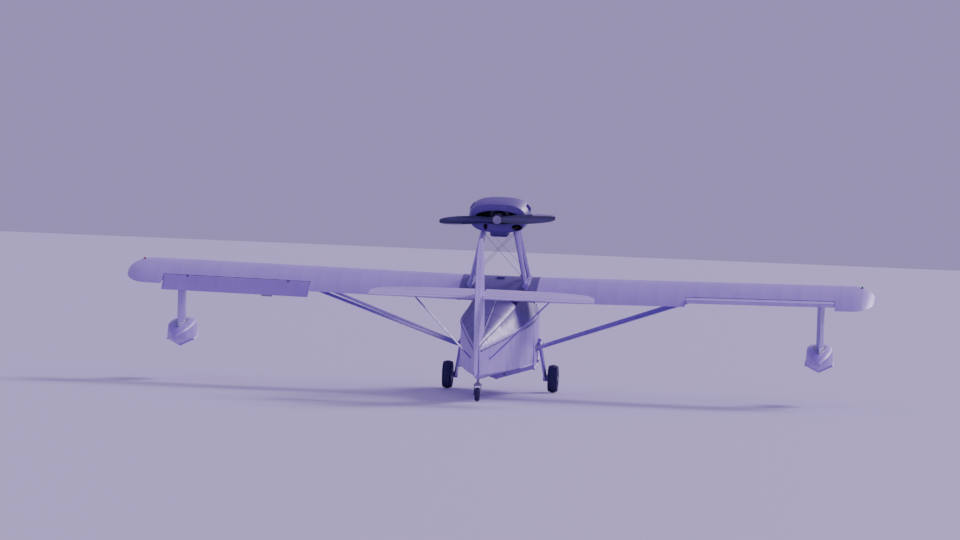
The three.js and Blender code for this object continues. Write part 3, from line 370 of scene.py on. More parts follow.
def doped_fabric(name, base, worn, first_rib, spacing, across=PORT):
    """Ribs stand square to the direction across, the first of them that far along it."""
    made, tree, place = blank(name, Sheen_Weight=0.15, Sheen_Roughness=0.5)
    outward = add(tree, "VectorMath", {0: place, 1: across}, "Value", operation="DOT_PRODUCT")
    outward = add(tree, "Math", {0: outward}, operation="ABSOLUTE")
    along = add(tree, "Math", {0: outward, 1: first_rib}, operation="SUBTRACT")
    from_rib = add(tree, "Math", {0: along, 1: spacing / 2}, operation="PINGPONG")
    tape = add(tree, "MapRange", {0: from_rib, 1: TAPE_HALF - MM, 2: TAPE_HALF + MM, 3: 1.0, 4: 0.0})
    cloud = add(tree, "TexNoise", {"Vector": place, "Scale": 1.4, "Detail": 7.0, "Roughness": 0.62})
    faded = add(tree, "MapRange", {0: cloud, 1: 0.35, 2: 0.72})
    edge = add(tree, "MapRange", {0: tape, 4: 0.25})
    gloss = add(tree, "MapRange", {0: cloud, 1: 0.3, 2: 0.7, 3: 0.38, 4: 0.55})
    threads = {"Vector": place, "Scale": 1 / (5 * MM) / 6.28, "Distortion": 0.4}
    warp = add(tree, "TexWave", threads, 1, bands_direction="X")
    weft = add(tree, "TexWave", threads, 1, bands_direction="Y")
    weave = add(tree, "Math", {0: warp, 1: weft}, operation="MULTIPLY")
    height = add(tree, "Math", {0: weave, 1: 0.15, 2: tape}, operation="MULTIPLY_ADD")
    return dressed(made, base, [(faded, worn), (edge, worn)], gloss, height, 0.5, 0.8 * MM)


level_up = tilt @ UP
rudder_rib = level_up.dot(level((0, 0, 0.740)))
wing_fabric = doped_fabric("doped polyester fabric, wing", "#bb9fe8", "#aa8edc", 0.5484, RIB_SPACING)
# The tail's fabric is mixed paler than the wing's: painted light, for the sun on the tailplane's top
tail_fabric_painted_light = doped_fabric("doped polyester fabric, tail, painted light", "#d3bff0", "#bfa9e2", 0.050, 0.258)
# The rudder's fabric is mixed darker than the wing's: painted shade, for the rudder's side turned away from
# the sun
rudder_fabric_painted_shade = doped_fabric("doped fabric, rudder, painted shade", "#a98edc", "#977dcc", rudder_rib, 0.210, level_up)
print("fabric covered, ribs every", RIB_SPACING, "m")

# %% [markdown]
# **The metals** start from typical values for what they are. Rolled sheet and plated steel keep a brushed
# grain, and a sand casting keeps the pits of its mould with oil and soot in them.

# %% Steel, aluminium and castings
def brushed_metal(name, base, dull, roughness, grain):
    made, tree, place = blank(name, Metallic=1.0)
    stretched = add(tree, "Mapping", {"Vector": place, "Scale": (1.0, 14.0, 14.0)})
    lines = add(tree, "TexNoise", {"Vector": stretched, "Scale": 1 / grain, "Detail": 4.0})
    faded = add(tree, "MapRange", {0: lines, 1: 0.3, 2: 0.7})
    gloss = add(tree, "MapRange", {0: lines, 1: 0.3, 2: 0.7, 3: roughness, 4: roughness + 0.15})
    return dressed(made, base, [(faded, dull)], gloss, lines, 0.2, 0.2 * MM)


def casting(name, base, soot, roughness):
    made, tree, place = blank(name, Metallic=0.5)
    sand = add(tree, "TexVoronoi", {"Vector": place, "Scale": 1 / (3 * MM)})
    oil = add(tree, "TexNoise", {"Vector": place, "Scale": 9.0, "Detail": 6.0})
    stained = add(tree, "MapRange", {0: oil, 1: 0.4, 2: 0.65})
    gloss = add(tree, "MapRange", {0: oil, 1: 0.4, 2: 0.7, 3: roughness, 4: roughness - 0.2})
    return dressed(made, base, [(stained, soot)], gloss, sand, 0.35)


plated_steel = brushed_metal("zinc-plated steel, brushed", "#a7a4ba", "#827e99", 0.28, 4 * MM)
rolled_aluminium = brushed_metal("rolled aluminium sheet", "#bdbacd", "#9b97ae", 0.32, 6 * MM)
heated_steel = brushed_metal("exhaust steel, heat-tinted", "#6d5a63", "#3b2f4a", 0.45, 8 * MM)
cast_aluminium = casting("sand-cast aluminium, oily", "#9a94b4", "#5a5278", 0.55)
cast_steel = casting("cast iron cylinder barrel", "#6a6486", "#3d3758", 0.6)
print("metals poured")

# %% [markdown]
# **Wood** shows its layers and its fibres. The propeller is glued up from boards stacked along the shaft,
# so carving brings out long contour lines. Rubber is matt with dust in its pores, and cloth is a weave.

# %% Wood, rubber and cloth
def laminated(name, pale, dark, board, through, fibres, smooth):
    """Layers lie square to the direction through; fibres is a scale, low along the grain."""
    made, tree, place = blank(name, Coat_Weight=0.6, Coat_Roughness=0.12)
    through = Vector(through).normalized()
    depth = add(tree, "VectorMath", {0: place, 1: through}, "Value", operation="DOT_PRODUCT")
    layers = {"Vector": depth, "Scale": 1 / board / 6.28, "Distortion": 1.2, "Detail": 2.0}
    bands = add(tree, "TexWave", layers, 1)
    pulled = add(tree, "Mapping", {"Vector": place, "Scale": fibres})
    grain = add(tree, "TexNoise", {"Vector": pulled, "Scale": 3.0, "Detail": 6.0})
    figure = add(tree, "Math", {0: bands, 1: grain}, operation="MULTIPLY")
    figure = add(tree, "MapRange", {0: figure, 1: 0.1, 2: 0.6})
    gloss = add(tree, "MapRange", {0: grain, 1: 0.3, 2: 0.7, 3: smooth, 4: smooth + 0.15})
    return dressed(made, dark, [(figure, pale)], gloss, grain, 0.2, 0.3 * MM)


def moulded_rubber(name, base, dusty, dust_from):
    made, tree, place = blank(name, IOR=1.52, Specular_IOR_Level=0.35)
    dust = add(tree, "TexNoise", {"Vector": place, "Scale": 14.0, "Detail": 8.0, "Roughness": 0.7})
    settled = add(tree, "MapRange", {0: dust, 1: dust_from, 2: 0.8})
    gloss = add(tree, "MapRange", {0: dust, 1: 0.4, 2: 0.7, 3: 0.62, 4: 0.9})
    pores = add(tree, "TexNoise", {"Vector": place, "Scale": 1 / (4 * MM), "Detail": 3.0})
    return dressed(made, base, [(settled, dusty)], gloss, pores)


def woven_cloth(name, base, dark, thread):
    """Upholstery or webbing; thread is the spacing that is drawn, about five times the real one."""
    made, tree, place = blank(name, Sheen_Weight=0.4, Roughness=0.9)
    threads = {"Vector": place, "Scale": 1 / thread / 6.28}
    warp = add(tree, "TexWave", threads, 1, bands_direction="X")
    weft = add(tree, "TexWave", threads, 1, bands_direction="DIAGONAL")
    weave = add(tree, "Math", {0: warp, 1: weft}, operation="MAXIMUM")
    wear = add(tree, "TexNoise", {"Vector": place, "Scale": 7.0, "Detail": 5.0})
    rubbed = add(tree, "MapRange", {0: wear, 1: 0.5, 2: 0.8, 4: 0.4})
    return dressed(made, dark, [(weave, base), (rubbed, dark)], None, weave, 0.6, 0.8 * MM)


SHAFT = tilt @ AFT
propeller_wood = laminated("laminated birch, dark varnish", "#4a4278", "#2a2450", 18 * MM, SHAFT,
                           (3, 60, 60), 0.3)
floor_wood = laminated("ash floorboards, oiled", "#8d7f95", "#6c6080", 60 * MM, PORT,
                       (60, 3, 60), 0.45)
seat_plywood = laminated("birch plywood seat pan", "#a393a8", "#7d6f90", 25 * MM, (1, 0.3, 0),
                         (60, 3, 3), 0.4)
tyre_rubber = moulded_rubber("moulded tyre rubber", "#352e5c", "#5f5686", 0.5)
sealing_rubber = moulded_rubber("extruded rubber seal", "#1f1b30", "#3a3450", 0.6)
grip_rubber = moulded_rubber("hard rubber grip", "#262040", "#453e62", 0.62)
seat_cloth = woven_cloth("woven wool upholstery", "#6f68a0", "#4a4379", 6 * MM)
harness_webbing = woven_cloth("woven nylon webbing", "#2f2a4c", "#1f1b36", 4 * MM)
print("wood, rubber and cloth laid in")

# %% [markdown]
# **Crackle paint** shrinks into cells as it dries, and hides glare on an instrument panel. **Acrylic**
# bends light a little. Part of it lets the light straight through, so that what is behind a pane stays
# lit.

# %% Paint on the panel, and glass
def crackle_paint(name, base, raised):
    made, tree, place = blank(name, Roughness=0.55)
    cells = {"Vector": place, "Scale": 1 / (3 * MM)}
    ridge = add(tree, "MapRange", {0: add(tree, "TexVoronoi", cells, feature="DISTANCE_TO_EDGE"), 2: 0.15})
    return dressed(made, base, [(ridge, raised)], None, ridge, 0.5)


def clear_sheet(name, tint, roughness, solid=1.0):
    made, tree, place = blank(name, Transmission_Weight=1.0, IOR=1.49, Alpha=solid)
    smear = add(tree, "TexNoise", {"Vector": place, "Scale": 6.0, "Detail": 5.0})
    hazed = add(tree, "MapRange", {0: smear, 1: 0.4, 2: 0.8, 4: 0.15})
    gloss = add(tree, "MapRange", {0: smear, 1: 0.4, 2: 0.75, 3: roughness, 4: roughness + 0.08})
    return dressed(made, tint, [(hazed, "#b9b2d2")], gloss)


panel_black = crackle_paint("black crackle paint on aluminium", "#191628", "#2b2740")
dial_face = crackle_paint("matt printed dial", "#e4e0f0", "#efecf7")
acrylic = clear_sheet("blown acrylic sheet", "#e6e6f4", 0.03, 0.35)
red_glass = clear_sheet("moulded red lamp glass", "#c8283c", 0.1)
green_glass = clear_sheet("moulded green lamp glass", "#1f9a5a", 0.1)


# %% [markdown]
# **The hull** is plywood on frames: flat side panels, a V bottom and one step. The table gives half-beam
# and height at the sheer and the chine, the keel, and the crown of the deck. A ring is drawn at each
# station with its corners rounded, as a planked and glassed hull has them, and the skin runs fair
# between.

# %% Rings with rounded corners
def rounded(outline, radius, count=4):
    """A closed outline, as pairs, with each corner turned round an arc of about that radius."""
    points = []
    for i, corner in enumerate(outline):
        here = Vector(corner)
        before, after = Vector(outline[i - 1]) - here, Vector(outline[(i + 1) % len(outline)]) - here
        reach = min(radius, before.length * 0.4, after.length * 0.4)
        start, end = here + before.normalized() * reach, here + after.normalized() * reach
        points += [start * (1 - t) ** 2 + here * 2 * t * (1 - t) + end * t**2 for t in steps(0, 1, count)]
    return points


STEP_Y = 2.850
HULL_BOW = [
    # y, sheer half, sheer z, chine half, chine z, keel z, deck crown
    [0.000, 0.040, 0.705, 0.030, 0.625, 0.560, 0.010],
    [0.110, 0.120, 0.722, 0.105, 0.560, 0.430, 0.022],
    [0.300, 0.215, 0.748, 0.200, 0.478, 0.300, 0.036],
    [0.620, 0.342, 0.788, 0.335, 0.372, 0.160, 0.046],
    [1.000, 0.448, 0.828, 0.448, 0.276, 0.062, 0.050],
    [1.140, 0.475, 0.840, 0.478, 0.252, 0.042, 0.040],
    [1.500, 0.520, 0.862, 0.525, 0.206, 0.014, 0.000],
    [2.100, 0.545, 0.890, 0.555, 0.182, 0.000, 0.000],
    [STEP_Y, 0.540, 0.922, 0.555, 0.176, 0.000, 0.000],
]
HULL_STERN = [
    [2.853, 0.540, 0.922, 0.540, 0.262, 0.108, 0.000],
    [3.400, 0.500, 0.946, 0.505, 0.322, 0.180, 0.000],
    [4.200, 0.392, 0.982, 0.415, 0.412, 0.292, 0.000],
    [5.200, 0.248, 1.026, 0.276, 0.532, 0.434, 0.000],
    [6.000, 0.122, 1.060, 0.142, 0.634, 0.560, 0.000],
    [6.582, 0.032, 1.084, 0.044, 0.710, 0.650, 0.000],
]


def hull_row(y):
    return spline(HULL_BOW if y <= STEP_Y else HULL_STERN, y)


def hull_ring(y):
    _, sheer, sheer_z, chine, chine_z, keel_z, crown = hull_row(y)
    deck = [(sheer * (1 - t), sheer_z + crown * (1 - (1 - t) ** 2)) for t in (0.25, 0.5, 0.75)]
    port = [(0.0, keel_z), (chine, chine_z), (sheer, sheer_z), *deck, (0.0, sheer_z + crown)]
    outline = port + [(-x, z) for x, z in reversed(port[1:-1])]
    return [(p.x, y, p.y) for p in rounded(outline, 0.014)]


# %% [markdown]
# Behind the windscreen the sides open into **the cockpit well**, cut as the builder would saw it out,
# with a bay under the foredeck for feet and a round hole at the stern for the tail wheel's post.

# %% Hull with its cockpit well
CABIN_BACK, FLOOR, POST_Y = 2.350, 0.330, 6.250
well = skin([[(half, y, 1.15), (half - 0.01, y, FLOOR), (0.01 - half, y, FLOOR), (-half, y, 1.15)]
             for y, half in ((1.165, 0.428), (1.500, 0.480), (CABIN_BACK, 0.500))])
footwell = prism("front", [(-0.36, FLOOR), (0.36, FLOOR), (0.36, 0.76), (-0.36, 0.76)], 0.82, 1.20)
post_hole = tube([(0, POST_Y, 0.5), (0, POST_Y, 0.7)], 0.0205, 32)
stations = steps(0, 1.14, 26) + steps(1.17, STEP_Y, 36) + steps(2.853, 6.582, 64)
build("hull_skin", skin([hull_ring(y) for y in stations]), hull_enamel, replaces="hull",
      carve=(well, footwell, post_hole))
print("hull planked at", len(stations), "stations")

# %% [markdown]
# Trim follows the hull's own lines: a **keel shoe** of steel strip that takes the beach, **spray rails**
# that throw water outward at the chines, and a **rub rail** along the sheer. A run of short blocks would
# be lumpy, so each rail is one section carried along the fair curve.

# %% Keel shoe, spray rails and rub rails
def rail(first, last, count, section):
    """A section, given by a function of y, carried along the hull."""
    return skin([[(x, y, z) for x, z in section(y)] for y in steps(first, last, count)])


def spray_section(y):
    _, _, _, chine, chine_z, _, _ = hull_row(y)
    out = 0.022 * min(1, y / 0.5)
    return [(chine - 0.05, chine_z - 0.004), (chine - 0.01, chine_z + 0.02), (chine + out, chine_z + 0.004),
            (chine + out, chine_z - 0.010), (chine - 0.004, chine_z - 0.016)]


def spray_aft_section(y):
    return [(x - 0.005, z) for x, z in spray_section(y)]


def rub_section(y):
    _, sheer, sheer_z, _, _, _, _ = hull_row(y)
    half = [(sheer - 0.006, 0.018), (sheer + 0.008, 0.014)]
    lower, upper = [[(x, sheer_z - 0.036 + s * z) for x, z in half] for s in (-1, 1)]
    return lower + [(sheer + 0.013, sheer_z - 0.036)] + upper[::-1]


def shoe_section(y):
    keel_z = hull_row(y)[5]
    port = [(0.014, keel_z - 0.005), (0.017, keel_z + 0.012)]
    return [(-x, z) for x, z in reversed(port)] + port


build("spray_rails", both(rail(0.06, STEP_Y, 60, spray_section), rail(2.90, 4.10, 24, spray_aft_section)),
      hull_enamel, bevel=0.002)
build("rub_rails", both(rail(0.03, STEP_Y, 60, rub_section), rail(2.853, 6.50, 60, rub_section)),
      indigo_enamel, bevel=0.002)
build("keel_shoe", joined(rail(0.02, STEP_Y, 60, shoe_section), rail(2.853, 6.10, 50, shoe_section)),
      plated_steel, bevel=0.0015)
print("rails run", round(6.50 - 0.03, 2), "m along the sheer")

# %% [markdown]
# Small fittings belong to any boat: a **mooring pad** and hatch on the foredeck, a bow eye, drain plugs
# either side of the step, and screws. One function makes every screw, because they are all alike.

# %% Deck and hull fittings
def screw(point, out, radius=0.007):
    """A pan-head screw that stands on a surface."""
    profile = [(-0.002, radius), (0.001, radius), (0.0025, radius * 0.8), (0.003, radius * 0.3), (0.003, 0)]
    return turned(profile, point, out, 12)


def bolt(point, out, radius=0.010, height=0.008):
    """A hexagon head on its washer."""
    seat = [(-0.002, 0), (-0.002, radius * 1.5), (0.0015, radius * 1.5), (0.0015, 0)]
    top = height + 0.001
    head = [(0.001, 0), (0.001, radius), (height, radius), (top, radius * 0.85), (top, 0)]
    return joined(turned(seat, point, out, 20), turned(head, point, out, 6))


def deck_height(x, y):
    _, sheer, sheer_z, _, _, _, crown = hull_row(y)
    return sheer_z + crown * (1 - (x / sheer) ** 2)


def on_deck(front, back, proud):
    """A plate that follows the deck's slope and crown; front and back are (half width, y)."""
    rings = []
    for t in steps(0, 1, 10):
        half, y = [a + (b - a) * t for a, b in zip(front, back)]
        top = [(x, y, deck_height(x, y) + proud) for x in steps(-half, half, 10)]
        rings.append(top + [(x, y, deck_height(x, y) - 0.01) for x in steps(half, -half, 10)])
    return skin(rings)


def ring_round(centre, u, v, radius, thick):
    """A closed ring of round bar; u and v span its plane."""
    path = [centre + (u * cos(a) + v * sin(a)) * radius for a in steps(0, 2 * pi, 24)]
    return tube(path, thick, 10)


build("mooring_pad", slab((0, 0.430, 0.787), (0.080, 0.150, 0.050)), hull_enamel, bevel=0.003)
build("foredeck_hatch", on_deck((0.15, 0.60), (0.17, 0.84), 0.010), indigo_enamel, bevel=0.003)
knob = [(0, 0.012), (0.016, 0.012), (0.018, 0.008), (0.018, 0)]
latches = []
for x in (-0.08, 0.08):
    latches.append(slab((x, 0.602, deck_height(0, 0.602) + 0.008), (0.035, 0.018, 0.012)))
    latches.append(turned(knob, (x, 0.625, deck_height(0, 0.62) + 0.008), UP, 16))
for x in (-0.12, 0.07):
    barrel = Vector((x, 0.835, deck_height(0, 0.835) + 0.012))
    latches.append(tube([barrel, barrel + PORT * 0.05], 0.006))
build("hatch_latches", joined(*latches), plated_steel, bevel=0.001)
stem_plate = slab((0, 0.076, 0.530), (0.030, 0.030, 0.07), (PORT, (0, 1, -1.1), (0, 1.1, 1)))
build("bow_eye", joined(ring_round(Vector((0, 0.055, 0.520)), AFT, UP, 0.024, 0.0055), stem_plate),
      plated_steel, bevel=0.001)
plug = [(-0.004, 0.019), (0.003, 0.019), (0.005, 0.015), (0.010, 0.010), (0.010, 0)]
build("drain_plugs", both(turned(plug, (0.12, 2.852, 0.075), AFT, 24)), plated_steel)
print("fittings on", round(deck_height(0, 0.43), 3), "m high deck")

# %% [markdown]
# **The upper body** carries the fair line from the windscreen over the cabin and down to the fin. Each
# ring rises straight from the sheer to a shoulder and closes over the crown in a quarter ellipse each
# side.

# %% Upper body rings
UPPER = [
    # y, shoulder half, shoulder z, crown z
    [1.130, 0.400, 0.862, 0.884],
    [1.300, 0.378, 1.000, 1.062],
    [1.480, 0.350, 1.128, 1.232],
    [1.620, 0.338, 1.186, 1.318],
    [1.760, 0.335, 1.208, 1.346],
    [1.901, 0.335, 1.218, 1.352],
    [2.350, 0.345, 1.222, 1.356],
    [3.421, 0.318, 1.190, 1.290],
    [4.200, 0.240, 1.150, 1.238],
    [5.200, 0.140, 1.112, 1.180],
    [6.000, 0.062, 1.098, 1.146],
    [6.582, 0.020, 1.094, 1.126],
]


def crown_at(y):
    return spline(UPPER, y)[3]


def upper_half(y, inset=0.0, arc=16):
    """Port half of a ring, from the sheer up to the crown."""
    _, sheer, sheer_z, _, _, _, _ = hull_row(y)
    _, shoulder, shoulder_z, crown_z = spline(UPPER, y)
    foot = Vector((sheer - 0.004 - inset, sheer_z - 0.020))
    rise = crown_z - shoulder_z
    top = [Vector(((shoulder - inset) * cos(a), shoulder_z - inset + rise * sin(a)))
           for a in steps(0, pi / 2, arc)]
    return [tuple(p) for p in [foot.lerp(top[0], t) for t in (0, 0.33, 0.67)] + top]


def arch(y, inset=0.0):
    half = upper_half(y, inset)
    return [(x, y, z) for x, z in half] + [(-x, y, z) for x, z in reversed(half[:-1])]


def layer(outer, inner, first, last, count):
    """A sheet that follows the upper body between two depths below its face."""
    return skin([arch(y, outer) + arch(y, inner)[::-1] for y in steps(first, last, count)])


build("aft_deck_skin", skin([arch(y) for y in steps(2.352, 6.580, 80)]), indigo_enamel, replaces="aft_deck")
seams = [layer(-0.0018, 0.01, y - 0.015, y + 0.015, 1) for y in (3.60, 4.40, 5.20, 5.86)]
build("deck_seam_strips", joined(*seams), indigo_enamel, bevel=0.0008)
spine_section = ((-0.016, -0.004), (-0.010, 0.004), (0.010, 0.004), (0.016, -0.004))
spine = skin([[(x, y, crown_at(y) + z) for x, z in spine_section] for y in steps(3.44, 5.56, 40)])
build("deck_spine", spine, indigo_enamel, bevel=0.001)
print("deck faired over", round(6.58 - 2.352, 3), "m")

# %% [markdown]
# **The cabin** is one thin wall with openings sawn through it: two windscreen halves and a door each side
# that swings up on a top hinge. The doors are drawn in side view and the windscreen from above. An
# outline can be moved in or out square to its edges, so opening, glass and rubber strip come from one
# drawing.

# %% Outlines of the openings
def grown(outline, by):
    """An outline drawn anticlockwise, moved out square to its edges."""
    points = []
    for i, corner in enumerate(outline):
        here = Vector(corner)
        first = (here - Vector(outline[i - 1])).normalized()
        second = (Vector(outline[(i + 1) % len(outline)]) - here).normalized()
        reach = by / (1 + first.dot(second))
        points.append((here.x + (first.y + second.y) * reach, here.y - (first.x + second.x) * reach))
    return points


DOOR = [(1.372, 0.918), (1.878, 0.925), (1.878, 1.200), (1.636, 1.200), (1.480, 1.098)]
WINDOW = [(1.450, 0.965), (1.838, 0.970), (1.838, 1.152), (1.604, 1.130), (1.514, 1.072)]
SCREEN_FRONT, SCREEN_TOP, POST_HALF = (1.172, 0.925), (1.560, 1.232), 0.013


def screen_edge(y):
    """How far out the windscreen reaches: where a cut that slopes in side view leaves the outer face."""
    _, shoulder, shoulder_z, crown_z = spline(UPPER, y)
    (front_y, front_z), (top_y, top_z) = SCREEN_FRONT, SCREEN_TOP
    cut_z = front_z + (top_z - front_z) * (y - front_y) / (top_y - front_y)
    height = max(0, min(1, (cut_z - shoulder_z) / (crown_z - shoulder_z)))
    return max(POST_HALF + 0.001, shoulder * sqrt(1 - height**2))


screen_ys = steps(SCREEN_FRONT[0] + 0.010, SCREEN_TOP[0], 24)
SCREEN = [(POST_HALF, screen_ys[0]), *[(screen_edge(y), y) for y in screen_ys], (POST_HALF, screen_ys[-1])]
print("windscreen from", round(screen_ys[0], 3), "to", screen_ys[-1])

# %% [markdown]
# **Hinges** are eyes of plate on the fixed side, a pin on the moving side and a slot for the eye to swing
# in. Doors, ailerons, rudder and elevator all turn on the same kind, so one function draws them.

# %% Hinges
def hinge(point, along, aft, nose):
    """A hinge on a line: its eye with an arm, the slot it swings in, and the pin."""
    point, along, aft = Vector(point), Vector(along).normalized(), Vector(aft).normalized()
    axes = (along, aft, along.cross(aft))
    width, reach, back, front = 0.024, nose + 0.032, 0.019, nose + 0.006
    eye = turned(washer(-width / 2, width / 2, 0.0066, 0.013), point, along, 24)
    arm = slab(point - aft * (0.010 + reach) / 2, (width, reach - 0.010, 0.020), axes)
    slot = slab(point + aft * (back - front) / 2, (0.036, back + front, 2 * front + 0.020), axes)
    collars = [tube([point + along * s * 0.0185, point + along * s * 0.022], 0.010, 16) for s in (-1, 1)]
    pin = joined(tube([point - along * 0.026, point + along * 0.026], 0.006, 16), *collars)
    return joined(eye, arm), slot, pin


door_down = Vector((0.210, 0, -0.328))
door_hinges = [hinge((0.338, y, 1.190), AFT, door_down, 0.018) for y in (1.700, 1.845)]
door_eyes, door_slots, door_pins = zip(*door_hinges)
build("door_hinge_lugs", both(*door_eyes), plated_steel, bevel=0.001)
print(len(door_hinges), "hinges to a door")


# %% [markdown]
# Glass sits in **rubber strips** that grip the wall on both faces. The doorway is a little higher than
# the door, so that the door's upper edge has room to swing in.

# %% Cabin wall, windscreens and doors
def side_cut(outline):
    return prism("side", outline, 0.1, 0.9)


def plan_cut(outline):
    return prism("top", outline, 0.7, 1.6)


def rubber_strip(name, cut, outline, inward, first, last, body="airframe"):
    """A rubber section round an opening, proud of the wall outside and inside."""
    pair(name, layer(-0.0025, 0.0225, first, last, 30), sealing_rubber, body, bevel=0.0008, crisp=40,
         keep=cut(grown(outline, 0.006)), carve=[cut(grown(outline, -inward))])


doorway = [side_cut([(y, z + up) for y, z in grown(DOOR, 0.006)]) for up in (0, 0.008)]
cuts = [sided(shape, side) for side, _ in SIDES for shape in (plan_cut(SCREEN), *doorway)]
build("cabin_frame_skin", layer(0, 0.030, 1.130, CABIN_BACK, 44), indigo_enamel, replaces="cabin_frame",
      bevel=0.003, crisp=40, carve=cuts)
pair("windscreen_{}_pane", layer(0.011, 0.019, 1.150, 1.600, 40), acrylic, replaces="windscreen_{}",
     keep=plan_cut(grown(SCREEN, -0.0004)))
rubber_strip("windscreen_{}_rubber", plan_cut, SCREEN, 0.012, 1.150, 1.600)
pair("door_{}_panel", layer(0, 0.030, 1.340, 1.900, 30), indigo_enamel, "door_{}", "door_{}", bevel=0.003,
     crisp=40, keep=side_cut(DOOR), carve=[side_cut(WINDOW), *door_slots])
pair("door_{}_pane", layer(0.011, 0.019, 1.400, 1.880, 30), acrylic, "door_{}", "door_window_{}",
     keep=side_cut(grown(WINDOW, -0.0004)))
rubber_strip("door_{}_rubber", side_cut, WINDOW, 0.010, 1.400, 1.880, "door_{}")
pair("door_{}_pins", joined(*door_pins), plated_steel, "door_{}", bevel=0.0008)
print("cabin glazed back to", WINDOW[1][0])


# %% [markdown]
# Each door has a **lever handle** in a dished plate with a key lock, and the cabin has a grab handle on
# its roof and screws along its sills. They are placed on the wall by the same rings that shaped it.

# %% Door handles, sill screws and grab handle
def on_wall(y, z):
    """Point on the port face of the upper body at a height, and the direction out of it."""
    half = upper_half(y)
    for (x0, z0), (x1, z1) in zip(half, half[1:]):
        if z0 <= z <= z1:
            break
    t = (z - z0) / (z1 - z0)
    return Vector((x0 + (x1 - x0) * t, y, z)), Vector((z1 - z0, 0, x0 - x1)).normalized()


spot, out = on_wall(1.66, 0.946)
lever = [spot + out * 0.021 + AFT * reach for reach in (-0.008, 0.03, 0.062, 0.078)]
handle = joined(
    turned([(-0.004, 0), (-0.004, 0.019), (0.002, 0.019), (0.003, 0.016), (0.003, 0)], spot, out),
    tube([spot, spot + out * 0.024], 0.006, 16),
    tube(lever, [0.0055, 0.007, 0.006, 0.004], 14),
    turned([(-0.004, 0), (-0.004, 0.010), (0.002, 0.010), (0.003, 0.008), (0.003, 0)],
           on_wall(1.60, 0.946)[0], out, 24),
)
pair("door_{}_handle", handle, plated_steel, "door_{}", bevel=0.0008)
sill = [screw(*on_wall(y, hull_row(y)[2] + 0.018), 0.006) for y in steps(1.22, 2.28, 14)]
build("cabin_sill_screws", both(*sill), plated_steel)
grab = [(0, y, crown_at(y) + z)
        for y, z in ((1.60, -0.004), (1.61, 0.026), (1.66, 0.030), (1.72, 0.028), (1.73, -0.004))]
build("cabin_grab_handle", tube(grab, 0.007, 16), plated_steel)
print(len(sill) * 2, "sill screws")


# %% [markdown]
# **The wing** has ribs every 300 mm under shrunk fabric. The cloth holds the rib's shape at each rib and
# sags a few millimetres between them, so every section is drawn with the sag of its place. The nose is
# plywood back to the front spar, so it keeps its shape all along.

# %% Wing sections
WING_ROOT, WING_TIP, TIP_START = 0.548, 5.550, 5.200
CHORD, LEAD_Y, LEAD_Z = 1.520, 1.901, 1.330
INCIDENCE, DIHEDRAL = radians(2.5), radians(0.75)
TIP_AXIS, SPAR, SAG = 0.45, 0.12, 0.0035


def half_thickness(thickness, c):
    """The usual thickness curve of a section at a chord fraction, as a fraction of the chord."""
    curve = 0.2969 * sqrt(c) - 0.126 * c - 0.3516 * c**2 + 0.2843 * c**3 - 0.1015 * c**4
    return 5 * thickness * curve


def aerofoil(camber, thickness, count):
    """Chord and height fractions, from the trailing edge over the top to the nose and back below."""
    upper, lower = [], []
    for a in steps(0, pi, count):
        c = (1 - cos(a)) / 2
        front, rear = camber / 0.16 * (0.8 * c - c * c), camber / 0.36 * (0.2 + 0.8 * c - c * c)
        mean = front if c < 0.4 else rear
        upper.insert(0, (c, mean + half_thickness(thickness, c)))
        lower.append((c, mean - half_thickness(thickness, c)))
    return upper + lower[1:]


def wing_point(x, c, h):
    rise = max(0, abs(x) - WING_ROOT) * tan(DIHEDRAL)
    y = LEAD_Y + CHORD * (c * cos(INCIDENCE) + h * sin(INCIDENCE))
    return Vector((x, y, LEAD_Z + rise + CHORD * (h * cos(INCIDENCE) - c * sin(INCIDENCE))))


def tip_scale(x):
    """The tip's sections shrink along a quarter ellipse."""
    return sqrt(1 - (max(0, x - TIP_START) / (WING_TIP - TIP_START)) ** 2)


section = aerofoil(0.04, 0.12, 26)
middle = len(section) // 2


def wing_ring(x, sag=0.0):
    scale = tip_scale(x)
    ring = []
    for i, (c, h) in enumerate(section):
        slack = sag * sin(pi * (c - SPAR) / (1 - SPAR)) ** 0.6 if SPAR < c < 1 else 0
        h += (-slack if i < middle else slack) / CHORD
        ring.append(wing_point(x, TIP_AXIS + (c - TIP_AXIS) * scale, h * scale))
    return ring


def bay_stations(first, last, spacing):
    """Places along a surface with the sag at each: ribs with a flat on either side, and cloth between."""
    places = []
    rib = first
    while rib < last - 0.02:
        cloth = [(rib + 0.012 + (spacing - 0.024) * t, sin(pi * t))
                 for t in (0.12, 0.3, 0.5, 0.7, 0.88)]
        places += [(rib, 0.0), (rib + 0.012, 0.0), *cloth, (rib + spacing - 0.012, 0.0)]
        rib += spacing
    return [(x, s) for x, s in places if x < last - 0.005]


wing_places = bay_stations(WING_ROOT + 0.0004, TIP_START, RIB_SPACING)
tip_places = [TIP_START + (WING_TIP - TIP_START) * t
              for t in (0, 0.2, 0.4, 0.55, 0.68, 0.79, 0.88, 0.94, 0.975, 0.99)]
wing_shape = skin([wing_ring(x, s * SAG) for x, s in wing_places] + [wing_ring(x) for x in tip_places])
print(len(wing_places), "wing stations")

# %% [markdown]
# **The ailerons** hang on two hinges in a bay cut from each wing. In the photograph the left one is down
# and the right one is up, so they rest that way here. The bay is the round of the aileron's nose with a
# gap.

# %% Wings and ailerons
INNER, OUTER, NOSE, AILERON_CHORD, AILERON_RIBS = 2.780, 4.950, 0.044, 0.360, 0.3617
AILERON_REST, GAP, AILERON_SAG = radians(18), 0.008, 0.0025
spanwise = Vector((cos(DIHEDRAL), 0, sin(DIHEDRAL)))


def aileron_line(x):
    return wing_point(x, 1 - (AILERON_CHORD - NOSE) / CHORD, 0.0195)


aileron_aft = (wing_point(INNER, 1, 0) - aileron_line(INNER)).normalized()
aileron_up = spanwise.cross(aileron_aft)


def aileron_place(x, aft, up):
    return aileron_line(x) + aileron_aft * aft + aileron_up * up


